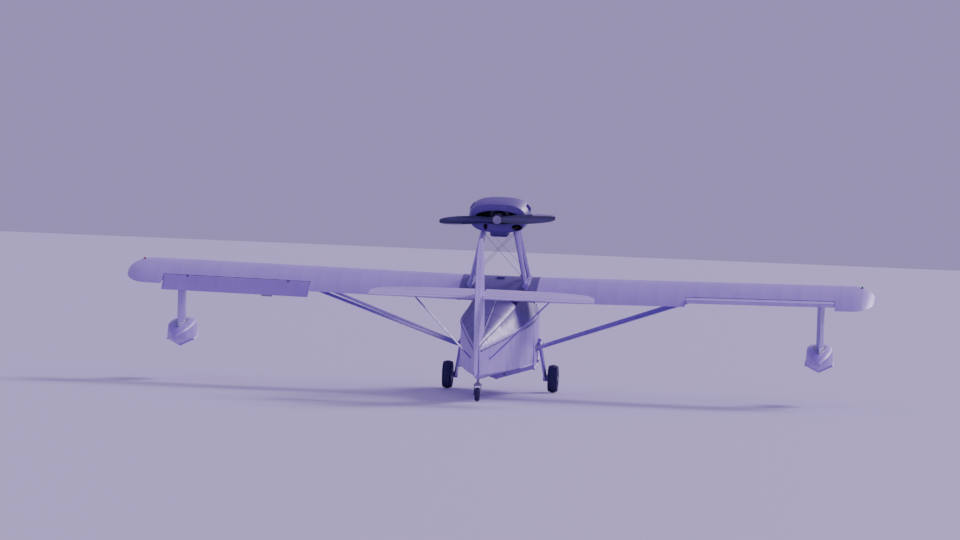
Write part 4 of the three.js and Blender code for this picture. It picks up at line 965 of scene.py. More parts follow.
def flap_ring(nose, chord, sag=0.0, tail=0.003, arc=14):
    """Pairs (aft, up): a half-round nose about the hinge, then a taper to a thin tail; cloth sags."""
    top = [(chord * (1 - t), tail + (nose - tail) * t - sag * sin(pi * t))
           for t in steps(0, 1, 8)]
    front = [(nose * cos(a), nose * sin(a)) for a in steps(pi / 2, pi * 1.5, arc)]
    return top + front[1:-1] + [(a, -b) for a, b in reversed(top)]


def resting(shape, side):
    """The shape on one side, turned with its aileron from streamlined to where it rests."""
    return sided(spun(shape, aileron_line(INNER), spanwise, -side * AILERON_REST), side)


reach = NOSE + GAP
ends = (INNER - GAP, OUTER + GAP)
corners = ((0, -reach), (AILERON_CHORD, -reach), (AILERON_CHORD, reach), (0, reach))
bay = [tube([aileron_line(x) for x in ends], reach, 48),
       skin([[aileron_place(x, a, b) for a, b in corners] for x in ends])]
aileron_eyes, aileron_slots, aileron_pins = zip(*[
    hinge(aileron_line(x), spanwise, aileron_aft, NOSE) for x in (3.100, 4.600)])
aileron_shape = skin([
    [aileron_place(x, a, b) for a, b in flap_ring(NOSE, AILERON_CHORD - NOSE, s * AILERON_SAG)]
    for x, s in bay_stations(INNER, OUTER, AILERON_RIBS) + [(OUTER, 0.0)]
])
pair("wing_{}_skin", wing_shape, wing_fabric, replaces="wing_{}", crisp=40, carve=bay)
pair("aileron_{}_lugs", joined(*aileron_eyes), plated_steel, bevel=0.001)
tab_corners = ((-0.020, -0.001), (0.035, -0.004), (0.035, -0.0025), (-0.020, 0.0045))
tab = skin([[aileron_place(x, AILERON_CHORD - NOSE + a, b) for a, b in tab_corners] for x in (3.30, 3.46)])
for side, word in SIDES:
    body = f"aileron_{word}"
    build(f"aileron_{word}_skin", resting(aileron_shape, side), wing_fabric, body=body, replaces=body,
          crisp=40, carve=[resting(slot, side) for slot in aileron_slots])
    build(f"aileron_{word}_pins", resting(joined(*aileron_pins), side), plated_steel, body=body,
          bevel=0.0008)
    build(f"aileron_{word}_tab", resting(tab, side), rolled_aluminium, body=body, bevel=0.0005)
print("ailerons rest", round(degrees(AILERON_REST)), "degrees down and up")

# %% [markdown]
# **Wing details**: covers over inspection holes, a small tab for trim bent from aluminium, the lamp at
# each tip, the pitot head under the left wing, and rings to tie the wings down to the ground.

# %% Wing fittings
def skin_point(x, c, top=True):
    """A point of the wing's skin and the direction out of it."""
    half = section[: middle + 1] if top else section[middle:]
    (c0, h0), (c1, h1) = sorted(sorted(half, key=lambda p: abs(p[0] - c))[:2])
    h = h0 + (h1 - h0) * (c - c0) / (c1 - c0)
    scale = tip_scale(x)
    along = wing_point(x, c1, h1) - wing_point(x, c0, h0)
    out = along.cross(Vector((1, 0, tan(DIHEDRAL)))).normalized()
    return wing_point(x, TIP_AXIS + (c - TIP_AXIS) * scale, h * scale), out if (out.z > 0) == top else -out


disc = [(-0.003, 0), (-0.003, 0.055), (0.002, 0.055), (0.0035, 0.048), (0.0035, 0.010), (0.003, 0)]
covers = []
for x, c in ((1.60, 0.50), (2.90, 0.62), (3.86, 0.70), (4.70, 0.62)):
    spot, out = skin_point(x, c, top=False)
    covers.append(turned(disc, spot - out * 0.002, out, 40))
    u, v = basis(out)
    covers += [screw(spot + (u * cos(a) + v * sin(a)) * 0.047, out, 0.004) for a in circle(8)]
pair("wing_{}_covers", joined(*covers), rolled_aluminium)
spot, out = skin_point(5.34, 0.30)
lamp_base = turned([(-0.006, 0), (-0.006, 0.030), (0.008, 0.028), (0.010, 0.022), (0.010, 0)], spot, out)
pair("wing_{}_lamp_base", lamp_base, rolled_aluminium, bevel=0.001)
dome = [(0.009 + 0.022 * sin(a), 0.020 * cos(a)) for a in steps(0, pi / 2, 8)]
dome.insert(0, (0.008, 0.0))
for (side, word), glass in zip(SIDES, (red_glass, green_glass)):
    build(f"wing_{word}_lamp", sided(turned(dome, spot, out), side), glass)
spot, out = skin_point(3.23, 0.18, top=False)
pair("wing_{}_tie_ring", joined(ring_round(spot + out * 0.022, out, AFT, 0.020, 0.004), bolt(spot, out)),
     plated_steel)
spot, out = skin_point(3.80, 0.10, top=False)
mast_section = ((0, -0.03), (0.006, -0.01), (0.007, 0.01), (0, 0.045), (-0.007, 0.01), (-0.006, -0.01))
mast = skin([[spot + out * d + Vector((x, y - 0.5 * d, 0)) for x, y in mast_section]
             for d in (-0.01, 0.10)])
head = [spot + out * 0.10 + AFT * y for y in (0.0, -0.02, -0.20, -0.26)]
build("pitot_head", joined(mast, tube(head, [0.010, 0.010, 0.009, 0.006], 16)), plated_steel, bevel=0.001)
print("wing fittings placed")

# %% [markdown]
# **The centre section** is plywood over the cabin, painted indigo like the roof. It holds the fuel, so it
# has two filler caps, a drain and a flat pad for a lifting sling. Strips cover the gaps to the outer
# wings.

# %% Centre section
def root_ring(x, proud=0.0):
    """The root's section at any place across the middle, thickened a little when it stands proud."""
    ring = []
    for i, (c, h) in enumerate(section):
        lift = proud / CHORD
        if i == middle:
            c -= lift
        else:
            h += lift if i < middle else -lift
        ring.append(Vector((x, *wing_point(WING_ROOT, c, h).yz)))
    return ring


centre = skin([root_ring(x) for x in steps(-WING_ROOT, WING_ROOT, 12)])
build("centre_section_skin", joined(centre, slab((0, 2.450, 1.448), (0.120, 0.120, 0.060))), indigo_enamel,
      replaces="centre_section", crisp=40)
gap_cover = skin([root_ring(WING_ROOT + s * 0.025, 0.0022) for s in (-1, 1)])
build("wing_gap_covers", both(gap_cover), indigo_enamel, crisp=40)
spot, out = skin_point(0.30, 0.22)
cap = [(-0.004, 0), (-0.004, 0.052), (0.003, 0.052), (0.004, 0.040), (0.016, 0.038), (0.019, 0.034),
       (0.019, 0)]
build("fuel_caps", both(turned(cap, spot, out, 40), slab(spot + out * 0.022, (0.060, 0.010, 0.012))),
      rolled_aluminium, bevel=0.0015)
joint = []
for c in steps(0.06, 0.94, 14):
    for top in (True, False):
        spot, out = skin_point(WING_ROOT, c, top)
        joint += [screw(spot + PORT * s * 0.016 + out * 0.0018, out, 0.004) for s in (-1, 1)]
build("wing_gap_screws", both(*joint), plated_steel)
print(len(joint) * 2, "screws along the wing joints")


# %% [markdown]
# **Struts** are streamlined steel tube. Each is drawn as an aerofoil section carried between two points,
# and it narrows at its ends to steel lugs with a bolt, because a wide section can't be pinned to a
# fitting.

# %% Lift struts
def faired(start, end, chord, thickness, narrow=0.0, count=14):
    """A streamlined tube with its chord as near fore-and-aft as it can lie."""
    start, end = Vector(start), Vector(end)
    aft, across = basis(end - start)
    outline = aerofoil(0, thickness, count)
    length, taper = (end - start).length, 0.14
    marks = [m / length for m in ((0, 0.03, 0.06, 0.10, taper) if narrow else (0,))]
    rings = []
    for t in marks + [1 - m for m in reversed(marks)]:
        ease = min(1, min(t, 1 - t) * length / taper) if narrow else 1
        size = chord * (1 - narrow * (1 - ease * ease * (3 - 2 * ease)))
        rings.append([start.lerp(end, t) + aft * (c - 0.35) * size + across * h * size for c, h in outline])
    return skin(rings)


def lug(point, along, length=0.09, width=0.045):
    """Two plates with a bolt through them, at the end of a strut."""
    along = Vector(along).normalized()
    aft, across = basis(along)
    shapes = [tube([point + across * s * 0.020 for s in (-1, 1)], 0.006, 16)]
    for s in (-1, 1):
        shapes.append(slab(point + across * s * 0.009, (length, width, 0.005), (along, aft, across)))
        shapes.append(bolt(point + across * s * 0.0115, across * s, 0.009, 0.006))
    return joined(*shapes)


lugs = []
for which, foot_y, top_x, top_y in (("front", 2.440, 3.230, 2.190), ("rear", 2.560, 2.940, 2.950)):
    foot, top = Vector((0.535, foot_y, 0.420)), wing_point(top_x, (top_y - LEAD_Y) / CHORD, 0.01)
    along = (top - foot).normalized()
    under = top - along * 0.075
    pair(f"lift_strut_{which}_{{}}_tube", faired(foot + along * 0.012, under, 0.120, 0.38, narrow=0.45),
         shaded_strut_enamel, replaces=f"lift_strut_{which}_{{}}", crisp=50)
    lugs += [lug(foot + along * 0.030, along), lug(under + along * 0.012, along)]
chine_x = hull_row(2.5)[3]
lugs.append(slab((chine_x - 0.004, 2.500, 0.440), (0.012, 0.240, 0.110)))
lugs += [bolt((chine_x + 0.002, y, z), PORT, 0.008, 0.006)
         for y in (2.40, 2.50, 2.60) for z in (0.40, 0.48)]
pair("lift_strut_fittings_{}", joined(*lugs), plated_steel, bevel=0.001)
print("rear strut is", round((top - foot).length, 3), "m long")

# %% [markdown]
# **Tip floats** repeat the hull in small: deck, chines, a V bottom and a step. Each hangs on one
# streamlined pylon with a flange at its foot, bolted through the float's deck.

# %% Tip floats and their pylons
FLOAT_X, FLOAT_Y, FLOAT_STEP = 4.750, 2.560, 2.640
FLOAT_BOW = [
    # y, deck half, deck z, chine half, chine z, keel z
    [1.760, 0.020, 0.470, 0.016, 0.440, 0.410],
    [1.860, 0.095, 0.516, 0.092, 0.412, 0.330],
    [2.040, 0.160, 0.546, 0.165, 0.388, 0.282],
    [2.300, 0.188, 0.566, 0.200, 0.366, 0.262],
    [FLOAT_STEP, 0.188, 0.570, 0.200, 0.362, 0.260],
]
FLOAT_STERN = [
    [2.642, 0.188, 0.570, 0.196, 0.388, 0.294],
    [3.000, 0.130, 0.550, 0.140, 0.430, 0.360],
    [3.290, 0.018, 0.510, 0.024, 0.480, 0.460],
]


def float_row(y):
    return spline(FLOAT_BOW if y <= FLOAT_STEP else FLOAT_STERN, y)


def float_ring(y):
    _, deck, deck_z, chine, chine_z, keel_z = float_row(y)
    arc = [(deck * cos(a), deck_z + deck * 0.3 * sin(a)) for a in steps(0, pi / 2, 5)]
    port = [(0.0, keel_z), (chine, chine_z)] + arc
    outline = port + [(-x, z) for x, z in reversed(port[1:-1])]
    return [(FLOAT_X + p.x, y, p.y) for p in rounded(outline, 0.010, 3)]


def float_rail(out):
    """The spray rail along one chine; out is 1 for the outer one and -1 for the inner."""
    def section_at(y):
        _, _, _, chine, chine_z, _ = float_row(y)
        x = FLOAT_X + out * chine
        return [(x - out * 0.03, chine_z), (x, chine_z + 0.012), (x + out * 0.012, chine_z),
                (x + out * 0.012, chine_z - 0.008), (x, chine_z - 0.010)]

    return rail(1.80, FLOAT_STEP, 30, section_at)


pair("float_{}_skin", skin([float_ring(y) for y in steps(1.760, FLOAT_STEP, 36) + steps(2.642, 3.290, 28)]),
     hull_enamel, replaces="float_{}")
pair("float_{}_rails", joined(float_rail(1), float_rail(-1)), hull_enamel, bevel=0.001)
pylon_top = wing_point(FLOAT_X, (FLOAT_Y - LEAD_Y) / CHORD, -0.03)
pair("float_pylon_{}_skin", faired((FLOAT_X, FLOAT_Y, 0.550), pylon_top, 0.600, 0.18, count=22),
     shaded_strut_enamel, replaces="float_pylon_{}", crisp=50)
# The flange has the pylon's own section, longer by a tenth and nearly twice as wide
FLANGE_CHORD, FLANGE_WIDTH, FLANGE_TOP = 0.66, 0.60, 0.626
outline = [(FLOAT_X + h * FLANGE_WIDTH * 1.9, FLOAT_Y + (c - 0.35) * FLANGE_CHORD - 0.012)
           for c, h in aerofoil(0, 0.18, 16)]
flange = [prism("top", outline, 0.600, FLANGE_TOP)]
for y in steps(2.40, 2.86, 6):
    half = half_thickness(0.18, (y - FLOAT_Y + 0.012) / FLANGE_CHORD + 0.35) * FLANGE_WIDTH * 1.55
    flange += [bolt((FLOAT_X + s * half, y, FLANGE_TOP), UP, 0.006, 0.005) for s in (-1, 1)]
drain = [(-0.004, 0), (-0.004, 0.014), (0.003, 0.014), (0.006, 0.008), (0.006, 0)]
flange.append(turned(drain, (FLOAT_X + 0.05, 2.641, 0.33), AFT, 20))
pair("float_{}_flange", joined(*flange), rolled_aluminium, bevel=0.001)
print("floats hang at", FLOAT_X, "m")

# %% [markdown]
# **The nacelle** is thin sheet rolled to a rounded oblong, open at the back round the engine. Its rear
# edge is turned in to a soft lip. It splits along its sides, where fasteners hold the upper half to the
# lower.

# %% Cowl
THRUST_Z = 2.490
SHAFT_LINE = Vector((0, 0, THRUST_Z))
SQUARENESS = 2.7
COWL = [
    # y, half width, half height
    [2.400, 0.180, 0.095],
    [2.450, 0.300, 0.147],
    [2.560, 0.388, 0.187],
    [2.760, 0.436, 0.217],
    [3.180, 0.440, 0.228],
    [3.400, 0.418, 0.214],
    [3.485, 0.392, 0.198],
]


def cowl_size(y):
    """Half width and half height: a quarter round at the nose and the lip, and the table between."""
    _, half, height = spline(COWL, max(y, 2.450))
    if y < 2.450:
        t = (y - 2.400) / 0.050
        half, height = 0.180 + 0.120 * sqrt(t * (2 - t)), 0.095 + 0.055 * sqrt(t * (2 - t))
    lip = max(0, y - 3.445) / 0.040
    turn_in = 0.034 * (1 - sqrt(max(0, 1 - lip * lip)))
    return half - turn_in, height - turn_in


def oblong(a):
    """A point at an angle round a unit oblong with full corners."""
    return [copysign(abs(v) ** (2 / SQUARENESS), v) for v in (cos(a), sin(a))]


def cowl_ring(y, inset=0.0, count=88):
    half, height = cowl_size(y)
    turn = [oblong(a + pi / count) for a in circle(count)]
    return [((half - inset) * across, y, THRUST_Z + (height - inset) * up) for across, up in turn]


def oval_ring(opening, y, turn):
    """An opening is given as x, height over the shaft, half width and half height."""
    x, z, wide, high = opening
    return [(x + wide * cos(a), y, THRUST_Z + z + high * sin(a)) for a in turn]


def oval(opening, start, end, count=64):
    """A straight cut through an oval opening."""
    return skin([oval_ring(opening, y, circle(count)) for y in (start, end)])


def oval_lip(opening, y, radius):
    return tube(oval_ring(opening, y, steps(0, 2 * pi, 64)), radius, 10)


PYLON_TOP_Z = THRUST_Z - 0.190
LEGS = (((0.415, 2.330, 1.400), (0.230, 2.620, PYLON_TOP_Z)),
        ((0.415, 3.060, 1.400), (0.230, 3.120, PYLON_TOP_Z)))
MOUTH, INTAKE = (0, 0.020, 0.335, 0.104), (0, 0, 0.120, 0.060)
LOBES = ((-0.285, -0.120, 0.080, 0.048), (0.175, -0.120, 0.032, 0.048))
cowl_stations = steps(2.400, 2.450, 6) + steps(2.470, 3.430, 24) + steps(3.445, 3.485, 8)
room = skin([cowl_ring(y, 0.008) for y in steps(2.440, 3.440, 20) + [3.477]])
leg_holes = [sided(faired(a, b, 0.154, 0.44, count=12), side) for a, b in LEGS for side, _ in SIDES]
build("cowl_shell", skin([cowl_ring(y) for y in cowl_stations]), indigo_enamel, replaces="cowl",
      bevel=0.0015, crisp=40,
      carve=[room, oval(MOUTH, 3.44, 3.6), *[oval(lobe, 3.3, 3.6) for lobe in LOBES],
             oval(INTAKE, 2.3, 2.46), *leg_holes])
lips = [oval_lip(MOUTH, 3.482, 0.005), oval_lip(INTAKE, 2.402, 0.005)]
build("cowl_lips", joined(*lips, *[oval_lip(lobe, 3.480, 0.004) for lobe in LOBES]), indigo_enamel)
print("cowl", round(3.485 - 2.400, 3), "m long")

# %% [markdown]
# A strip covers **the split** along each side, with quarter-turn fasteners in dished washers. Rows of
# small screws hold the frames, and six **louvres** pressed in each shoulder let out the cooling air.

# %% Cowl strips, fasteners and louvres
def cowl_side(y, z):
    """A point on the cowl's port flank and the direction out of it."""
    half, height = cowl_size(y)
    up = (z - THRUST_Z) / height
    x = half * (1 - abs(up) ** SQUARENESS) ** (1 / SQUARENESS)
    slope = (abs(up) ** 1.7 / height) / ((x / half) ** 1.7 / half)
    return Vector((x, y, z)), Vector((1, 0, copysign(slope, up))).normalized()


strip_section = ((-0.004, 0.016), (0.002, 0.015), (0.002, -0.015), (-0.004, -0.016))
split = skin([[cowl_side(y, THRUST_Z)[0] + Vector((x, 0, z)) for x, z in strip_section]
              for y in steps(2.47, 3.43, 40)])
build("cowl_split_strips", both(split), indigo_enamel, bevel=0.0008)
dish = [(-0.002, 0), (-0.002, 0.010), (0.0035, 0.009), (0.0040, 0.006), (0.0030, 0.0055), (0.0030, 0)]
flank = [turned(dish, spot + out * 0.001, out, 16)
         for spot, out in [cowl_side(y, THRUST_Z) for y in steps(2.52, 3.40, 11)]]
pan = [(-0.003, 0), (-0.003, 0.006), (0.002, 0.005), (0.0025, 0)]
hoops = []
for y in (2.62, 3.30):
    half, height = cowl_size(y)
    for across, up in map(oblong, circle(32)):
        out = (across / half, 0, up / height)
        hoops.append(turned(pan, (half * across, y, THRUST_Z + height * up), out, 12))
build("cowl_fasteners", joined(both(*flank), *hoops), plated_steel)
louvres = []
for y in [2.88 + 0.045 * i for i in range(6)]:
    spot, out = cowl_side(y, THRUST_Z + 0.115)
    rings = []
    for s in steps(-0.05, 0.05, 8):
        open_by = 0.011 * sqrt(max(0, 1 - (s / 0.05) ** 2))
        centre = spot + out.cross(AFT).normalized() * s
        rings.append([centre - out * 0.004, centre + AFT * 0.028 + out * open_by,
                      centre + AFT * 0.030 + out * (open_by - 0.003), centre + AFT * 0.030 - out * 0.004])
    louvres.append(skin(rings))
build("cowl_louvres", both(*louvres), indigo_enamel, crisp=40)
print(len(flank) * 2 + len(hoops), "fasteners")

# %% [markdown]
# **The airbox** hangs under the cowl between the pylon's legs and feeds the carburettor through its open
# front. It is a pressed sheet box, so its lower corners are drawn round.

# %% Airbox
COWL_BOTTOM = THRUST_Z - 0.228
AIRBOX = [
    # y, half width, depth below the cowl
    [2.700, 0.118, 0.078],
    [2.760, 0.134, 0.094],
    [2.900, 0.140, 0.100],
    [3.140, 0.132, 0.090],
    [3.260, 0.090, 0.030],
]


def airbox_ring(y):
    """Square where it meets the cowl's skin, with round lower corners."""
    _, half, depth = spline(AIRBOX, y)
    radius = 0.4 * depth
    corner = Vector((half - radius, COWL_BOTTOM - depth + radius))
    turn = [corner + Vector((cos(a), -sin(a))) * radius for a in steps(0, pi / 2, 6)]
    port = [Vector((half, THRUST_Z - 0.97 * cowl_size(y)[1])), *turn]
    return [(p.x, y, p.y) for p in port] + [(-p.x, y, p.y) for p in reversed(port)]


AIRBOX_MOUTH = (0, COWL_BOTTOM - THRUST_Z - 0.040, 0.092, 0.028)
build("airbox_shell", skin([airbox_ring(y) for y in steps(2.700, 3.260, 28)]), indigo_enamel,
      replaces="airbox", bevel=0.003, crisp=40, carve=[oval(AIRBOX_MOUTH, 2.64, 2.79, 40)])
build("airbox_lip", oval_lip(AIRBOX_MOUTH, 2.702, 0.004), indigo_enamel)
print("airbox hangs", round(AIRBOX[2][2], 3), "m below the cowl")

# %% [markdown]
# **The pylon** is two frames of streamlined tube with a brace in each. Wires cross between the frames,
# since four legs alone would rack sideways under the propeller's pull.

# %% Engine pylon and bed
brace = faired((0.400, 2.980, 1.440), (0.246, 2.680, PYLON_TOP_Z - 0.070), 0.090, 0.42)
pair("pylon_{}_tubes", joined(*[faired(a, b, 0.150, 0.42, count=18) for a, b in LEGS], brace), shaded_strut_enamel,
     replaces="pylon_frame_{}", crisp=50)
pair("pylon_{}_shoe", slab((0.410, 2.700, 1.452), (0.080, 0.900, 0.060)), shaded_strut_enamel, bevel=0.006)
# The front bolt on the outer side is left out, since the leg comes down there
bolts = [bolt((0.410 + across, y, 1.482), UP, 0.009, 0.008)
         for y in (2.29, 2.50, 2.70, 2.90, 3.13) for across in (-0.027, 0.027) if y > 2.40 or across < 0]
pair("pylon_{}_bolts", joined(*bolts), plated_steel, bevel=0.0006)
wires = []
for leg in LEGS:
    low, high = Vector(leg[0]).lerp(Vector(leg[1]), 0.16), Vector(leg[0]).lerp(Vector(leg[1]), 0.93)
    for side, _ in SIDES:
        start = Vector((low.x * side, low.y + side * 0.006, low.z))
        end = Vector((-high.x * side, high.y + side * 0.006, high.z))
        wires += [tube([start, start.lerp(end, 0.06)], 0.0065), tube([start, end], 0.003, 10),
                  tube([start.lerp(end, 0.94), end], 0.0065)]
build("pylon_wires", joined(*wires), plated_steel)
build("engine_bed_plate", slab((0, 2.880, PYLON_TOP_Z + 0.0124), (0.520, 0.720, 0.0235)), rolled_aluminium,
      replaces="engine_bed", bevel=0.003)
print("pylon stands", round(PYLON_TOP_Z - 1.43, 3), "m over the wing")

# %% [markdown]
# **The engine** shows through the back of the cowl: a cast crankcase, two banks of air-cooled cylinders
# with their fins, pushrod tubes, spark plug leads, a magneto and the exhaust. It is drawn about the
# shaft's own line. The crankcase is cast in blocks with ribs, and a turned nose carries the shaft.

# %% Crankcase and shaft
def on_shaft(x, y, z=0.0):
    """A place by the engine, with its height measured from the shaft."""
    return Vector((x, y, THRUST_Z + z))


crank = joined(
    slab(on_shaft(0, 2.900, -0.023), (0.270, 0.550, 0.250)),
    slab(on_shaft(0, 2.900, 0.100), (0.200, 0.500, 0.036)),
    slab(on_shaft(0, 2.900, -0.130), (0.230, 0.480, 0.066)),
)
build("crankcase_block", crank, cast_aluminium, replaces="crankcase", bevel=0.008)
ribs = [slab(on_shaft(0, y, -0.020), (0.276, 0.010, 0.240)) for y in steps(2.66, 3.14, 8)]
build("crankcase_ribs", joined(*ribs), cast_aluminium, bevel=0.003)
nose_case = [(3.150, 0), (3.150, 0.105), (3.200, 0.100), (3.330, 0.066), (3.370, 0.062), (3.372, 0.050),
             (3.372, 0)]
build("crankcase_nose", turned(nose_case, SHAFT_LINE, AFT, 48), cast_aluminium, bevel=0.002)
shaft_end = [(3.360, 0), (3.360, 0.046), (3.505, 0.046), (3.508, 0.047), (3.522, 0.047), (3.524, 0.045),
             (3.524, 0.0245), (3.585, 0.0245), (3.585, 0)]
build("crankshaft_end", turned(shaft_end, SHAFT_LINE, AFT, 48), plated_steel)
nuts = [bolt(on_shaft(0.135, y, z), PORT, 0.008, 0.010)
        for y in steps(2.66, 3.14, 6) for z in (-0.12, 0.09)]
build("crankcase_nuts", both(*nuts), plated_steel)
magneto = [(2.92, 0), (2.92, 0.024), (3.04, 0.024), (3.045, 0.018), (3.045, 0)]
build("magneto", joined(slab(on_shaft(0, 2.980, 0.128), (0.090, 0.120, 0.030)),
                        turned(magneto, on_shaft(0, 0, 0.132), AFT, 24)), cast_aluminium, bevel=0.002)
print(len(ribs), "ribs and", len(nuts) * 2, "nuts")

# %% [markdown]
# **Cylinders** are finned to shed heat. The fins are one lathe profile, each disc as thick and as far
# apart as cast fins are, and the heads have flat fins the other way. Steel tubes hold the pushrods, and
# rubber leads run from the magneto to the plugs.

# %% Cylinders and heads
BORES = (2.780, 3.020)
barrel = [(0.136, 0), (0.136, 0.074), (0.150, 0.074), (0.150, 0.058)]
for x in steps(0.158, 0.330, 18):
    barrel += [(x, 0.058), (x + 0.0008, 0.078), (x + 0.0030, 0.078), (x + 0.0038, 0.058)]
barrel += [(0.345, 0.058), (0.345, 0)]
pair("cylinder_{}_barrels", joined(*[turned(barrel, on_shaft(0, y), PORT, 48) for y in BORES]), cast_steel,
     replaces="cylinder_bank_{}", crisp=30)
plug = [(0, 0), (0, 0.012), (0.010, 0.012), (0.012, 0.008), (0.034, 0.007), (0.034, 0)]
heads, tubes, leads = [], [], []
for y in BORES:
    heads += [slab(on_shaft(0.370, y, z), (0.052, 0.176, 0.0032)) for z in steps(-0.056, 0.056, 11)]
    heads.append(slab(on_shaft(0.368, y), (0.046, 0.120, 0.118)))
    heads.append(slab(on_shaft(0.400, y, 0.012), (0.022, 0.100, 0.080)))
    for dy in (-0.022, 0.022):
        tubes.append(tube([on_shaft(0.130, y + dy, -0.085), on_shaft(0.350, y + dy, -0.075)], 0.009, 14))
    tubes.append(turned(plug, on_shaft(0.372, y + 0.03, 0.060), (0, 0.2, 1), 12))
    leads.append(tube([on_shaft(0.372, y + 0.037, 0.092), on_shaft(0.350, y + 0.04, 0.112),
                       on_shaft(0.260, y + 0.05, 0.118), on_shaft(0.160, y + 0.03, 0.124),
                       on_shaft(0.080, 2.98, 0.132), on_shaft(0.030, 2.95, 0.135)], 0.0045, 10))
pair("cylinder_{}_heads", joined(*heads), cast_aluminium, bevel=0.0012)
pair("engine_{}_pushrod_tubes", joined(*tubes), plated_steel)
pair("engine_{}_leads", joined(*leads), sealing_rubber)
print("engine fins", 19 * 2 * len(BORES))

# %% [markdown]
# **The exhaust** gathers two ports on each side into one pipe that leaves through its own lobe of the
# cowl. The right pipe is wider and leaves further out. Each pipe is bored out at its end.

# %% Exhaust
PIPE_Z = -0.120
PIPES = ((0.175, 0.270, 0.020), (0.285, 0.310, 0.024))
ports = [on_shaft(0.370, y, -0.0606) for y in BORES]
for (side, word), (pipe_x, bend_x, radius) in zip(SIDES, PIPES):
    path = ((0.370, 2.780, 0.030), (0.366, 2.810, 0.012), (0.350, 2.900, 0.004), (0.342, 3.020, 0.001),
            (0.334, 3.130, 0), (bend_x, 3.230, 0), (pipe_x + 0.012, 3.340, 0), (pipe_x, 3.430, 0),
            (pipe_x, 3.500, 0))
    pipe = tube([ports[0]] + [on_shaft(x, y, PIPE_Z + z) for x, y, z in path], radius, 24)
    bore = tube([on_shaft(pipe_x, y, PIPE_Z) for y in (3.400, 3.520)], radius - 0.002, 24)
    build(f"exhaust_{word}_pipe", sided(pipe, side), heated_steel, replaces=f"exhaust_{word}", crisp=50,
          carve=[sided(bore, side)])
    path = ((0.370, 3.020, 0.028), (0.364, 3.040, 0.014), (0.344, 3.088, 0.004))
    branch = tube([ports[1]] + [on_shaft(x, y, PIPE_Z + z) for x, y, z in path], radius, 24)
    flanges = [slab(spot - UP * 0.003, (0.066, 0.050, 0.006)) for spot in ports]
    build(f"exhaust_{word}_branch", sided(joined(branch, *flanges), side), heated_steel, crisp=50)
print("pipes", [radius * 2 for _, _, radius in PIPES], "m across")

# %% [markdown]
# **The propeller** is carved from laminated birch. Its blade twists from coarse pitch at the root to fine
# at the tip. Metal sheathing guards the outer leading edges, and six bolts clamp a steel plate to the
# hub.

# %% Propeller
PROPELLER_RADIUS, REST_TURN = 0.850, radians(4)
HUB = on_shaft(0, 3.565)
BLADE = [
    # radius, chord, thickness, pitch in degrees
    [0.030, 0.096, 0.062, 42],
    [0.160, 0.118, 0.040, 38],
    [0.330, 0.142, 0.026, 28],
    [0.560, 0.136, 0.018, 19],
    [0.760, 0.104, 0.013, 14],
    [0.838, 0.062, 0.009, 12],
    [PROPELLER_RADIUS, 0.030, 0.006, 12],
]
blade_section = aerofoil(0, 0.3, 14)


def blade_ring(radius, outline):
    """An outline of (chord fraction, height fraction, growth) pitched and scaled for its radius."""
    _, chord, thick, pitch = spline(BLADE, radius)
    pitch = radians(pitch)
    ring = []
    for c, h, grow in outline:
        size = hypot(c - 0.2, h) or 1
        along = (c - 0.45) * chord + grow * (c - 0.2) / size
        across = h / 0.3 * thick + grow * h / size * 2
        ring.append(HUB + Vector((radius, along * sin(pitch) + across * cos(pitch),
                                  along * cos(pitch) - across * sin(pitch))))
    return ring


def both_blades(shape):
    return joined(*[spun(shape, HUB, AFT, REST_TURN + turn) for turn in (0, pi)])


whole = [(c, h, 0) for c, h in blade_section]
nose = [(c, h) for c, h in blade_section if c < 0.20]
folded = [(c, h, 0.0008) for c, h in nose] + [(c, h, -0.0012) for c, h in reversed(nose)]
blade = skin([blade_ring(r, whole) for r in steps(0.030, 0.838, 40) + steps(0.841, PROPELLER_RADIUS, 4)])
build("propeller_blades", both_blades(blade), propeller_wood, body="propeller", replaces="propeller",
      crisp=50, carve=[tube([on_shaft(0, 3.50), on_shaft(0, 3.588)], 0.0262, 32)])
hub = [(-0.035, 0.025), (-0.035, 0.071), (-0.031, 0.075), (0.031, 0.075), (0.035, 0.071), (0.035, 0.025),
       (-0.035, 0.025)]
build("propeller_hub", turned(hub, HUB, AFT, 64), propeller_wood, body="propeller")
build("propeller_sheaths", both_blades(skin([blade_ring(r, folded) for r in steps(0.52, 0.838, 24)])),
      rolled_aluminium, body="propeller", crisp=50)
plate = [(0.034, 0.0), (0.034, 0.062), (0.040, 0.062), (0.042, 0.060), (0.042, 0.0)]
hub_cap = [(0.040, 0), (0.040, 0.022), (0.056, 0.020), (0.060, 0.014), (0.060, 0)]
hub_bolts = [bolt(HUB + Vector((0.045 * cos(a), 0.042, 0.045 * sin(a))), AFT, 0.008, 0.009)
             for a in circle(6)]
build("propeller_hub_plate", joined(turned(plate, HUB, AFT, 48), turned(hub_cap, HUB, AFT), *hub_bolts),
      plated_steel, body="propeller", bevel=0.0006)
print("propeller sweeps", PROPELLER_RADIUS * 2, "m")

# %% [markdown]
# **The tail** is a fixed fin and tailplane with a rudder and a one-piece elevator behind them. The fin is
# plywood, and the others are fabric over ribs. Their outlines are tables of where the leading edge lies.

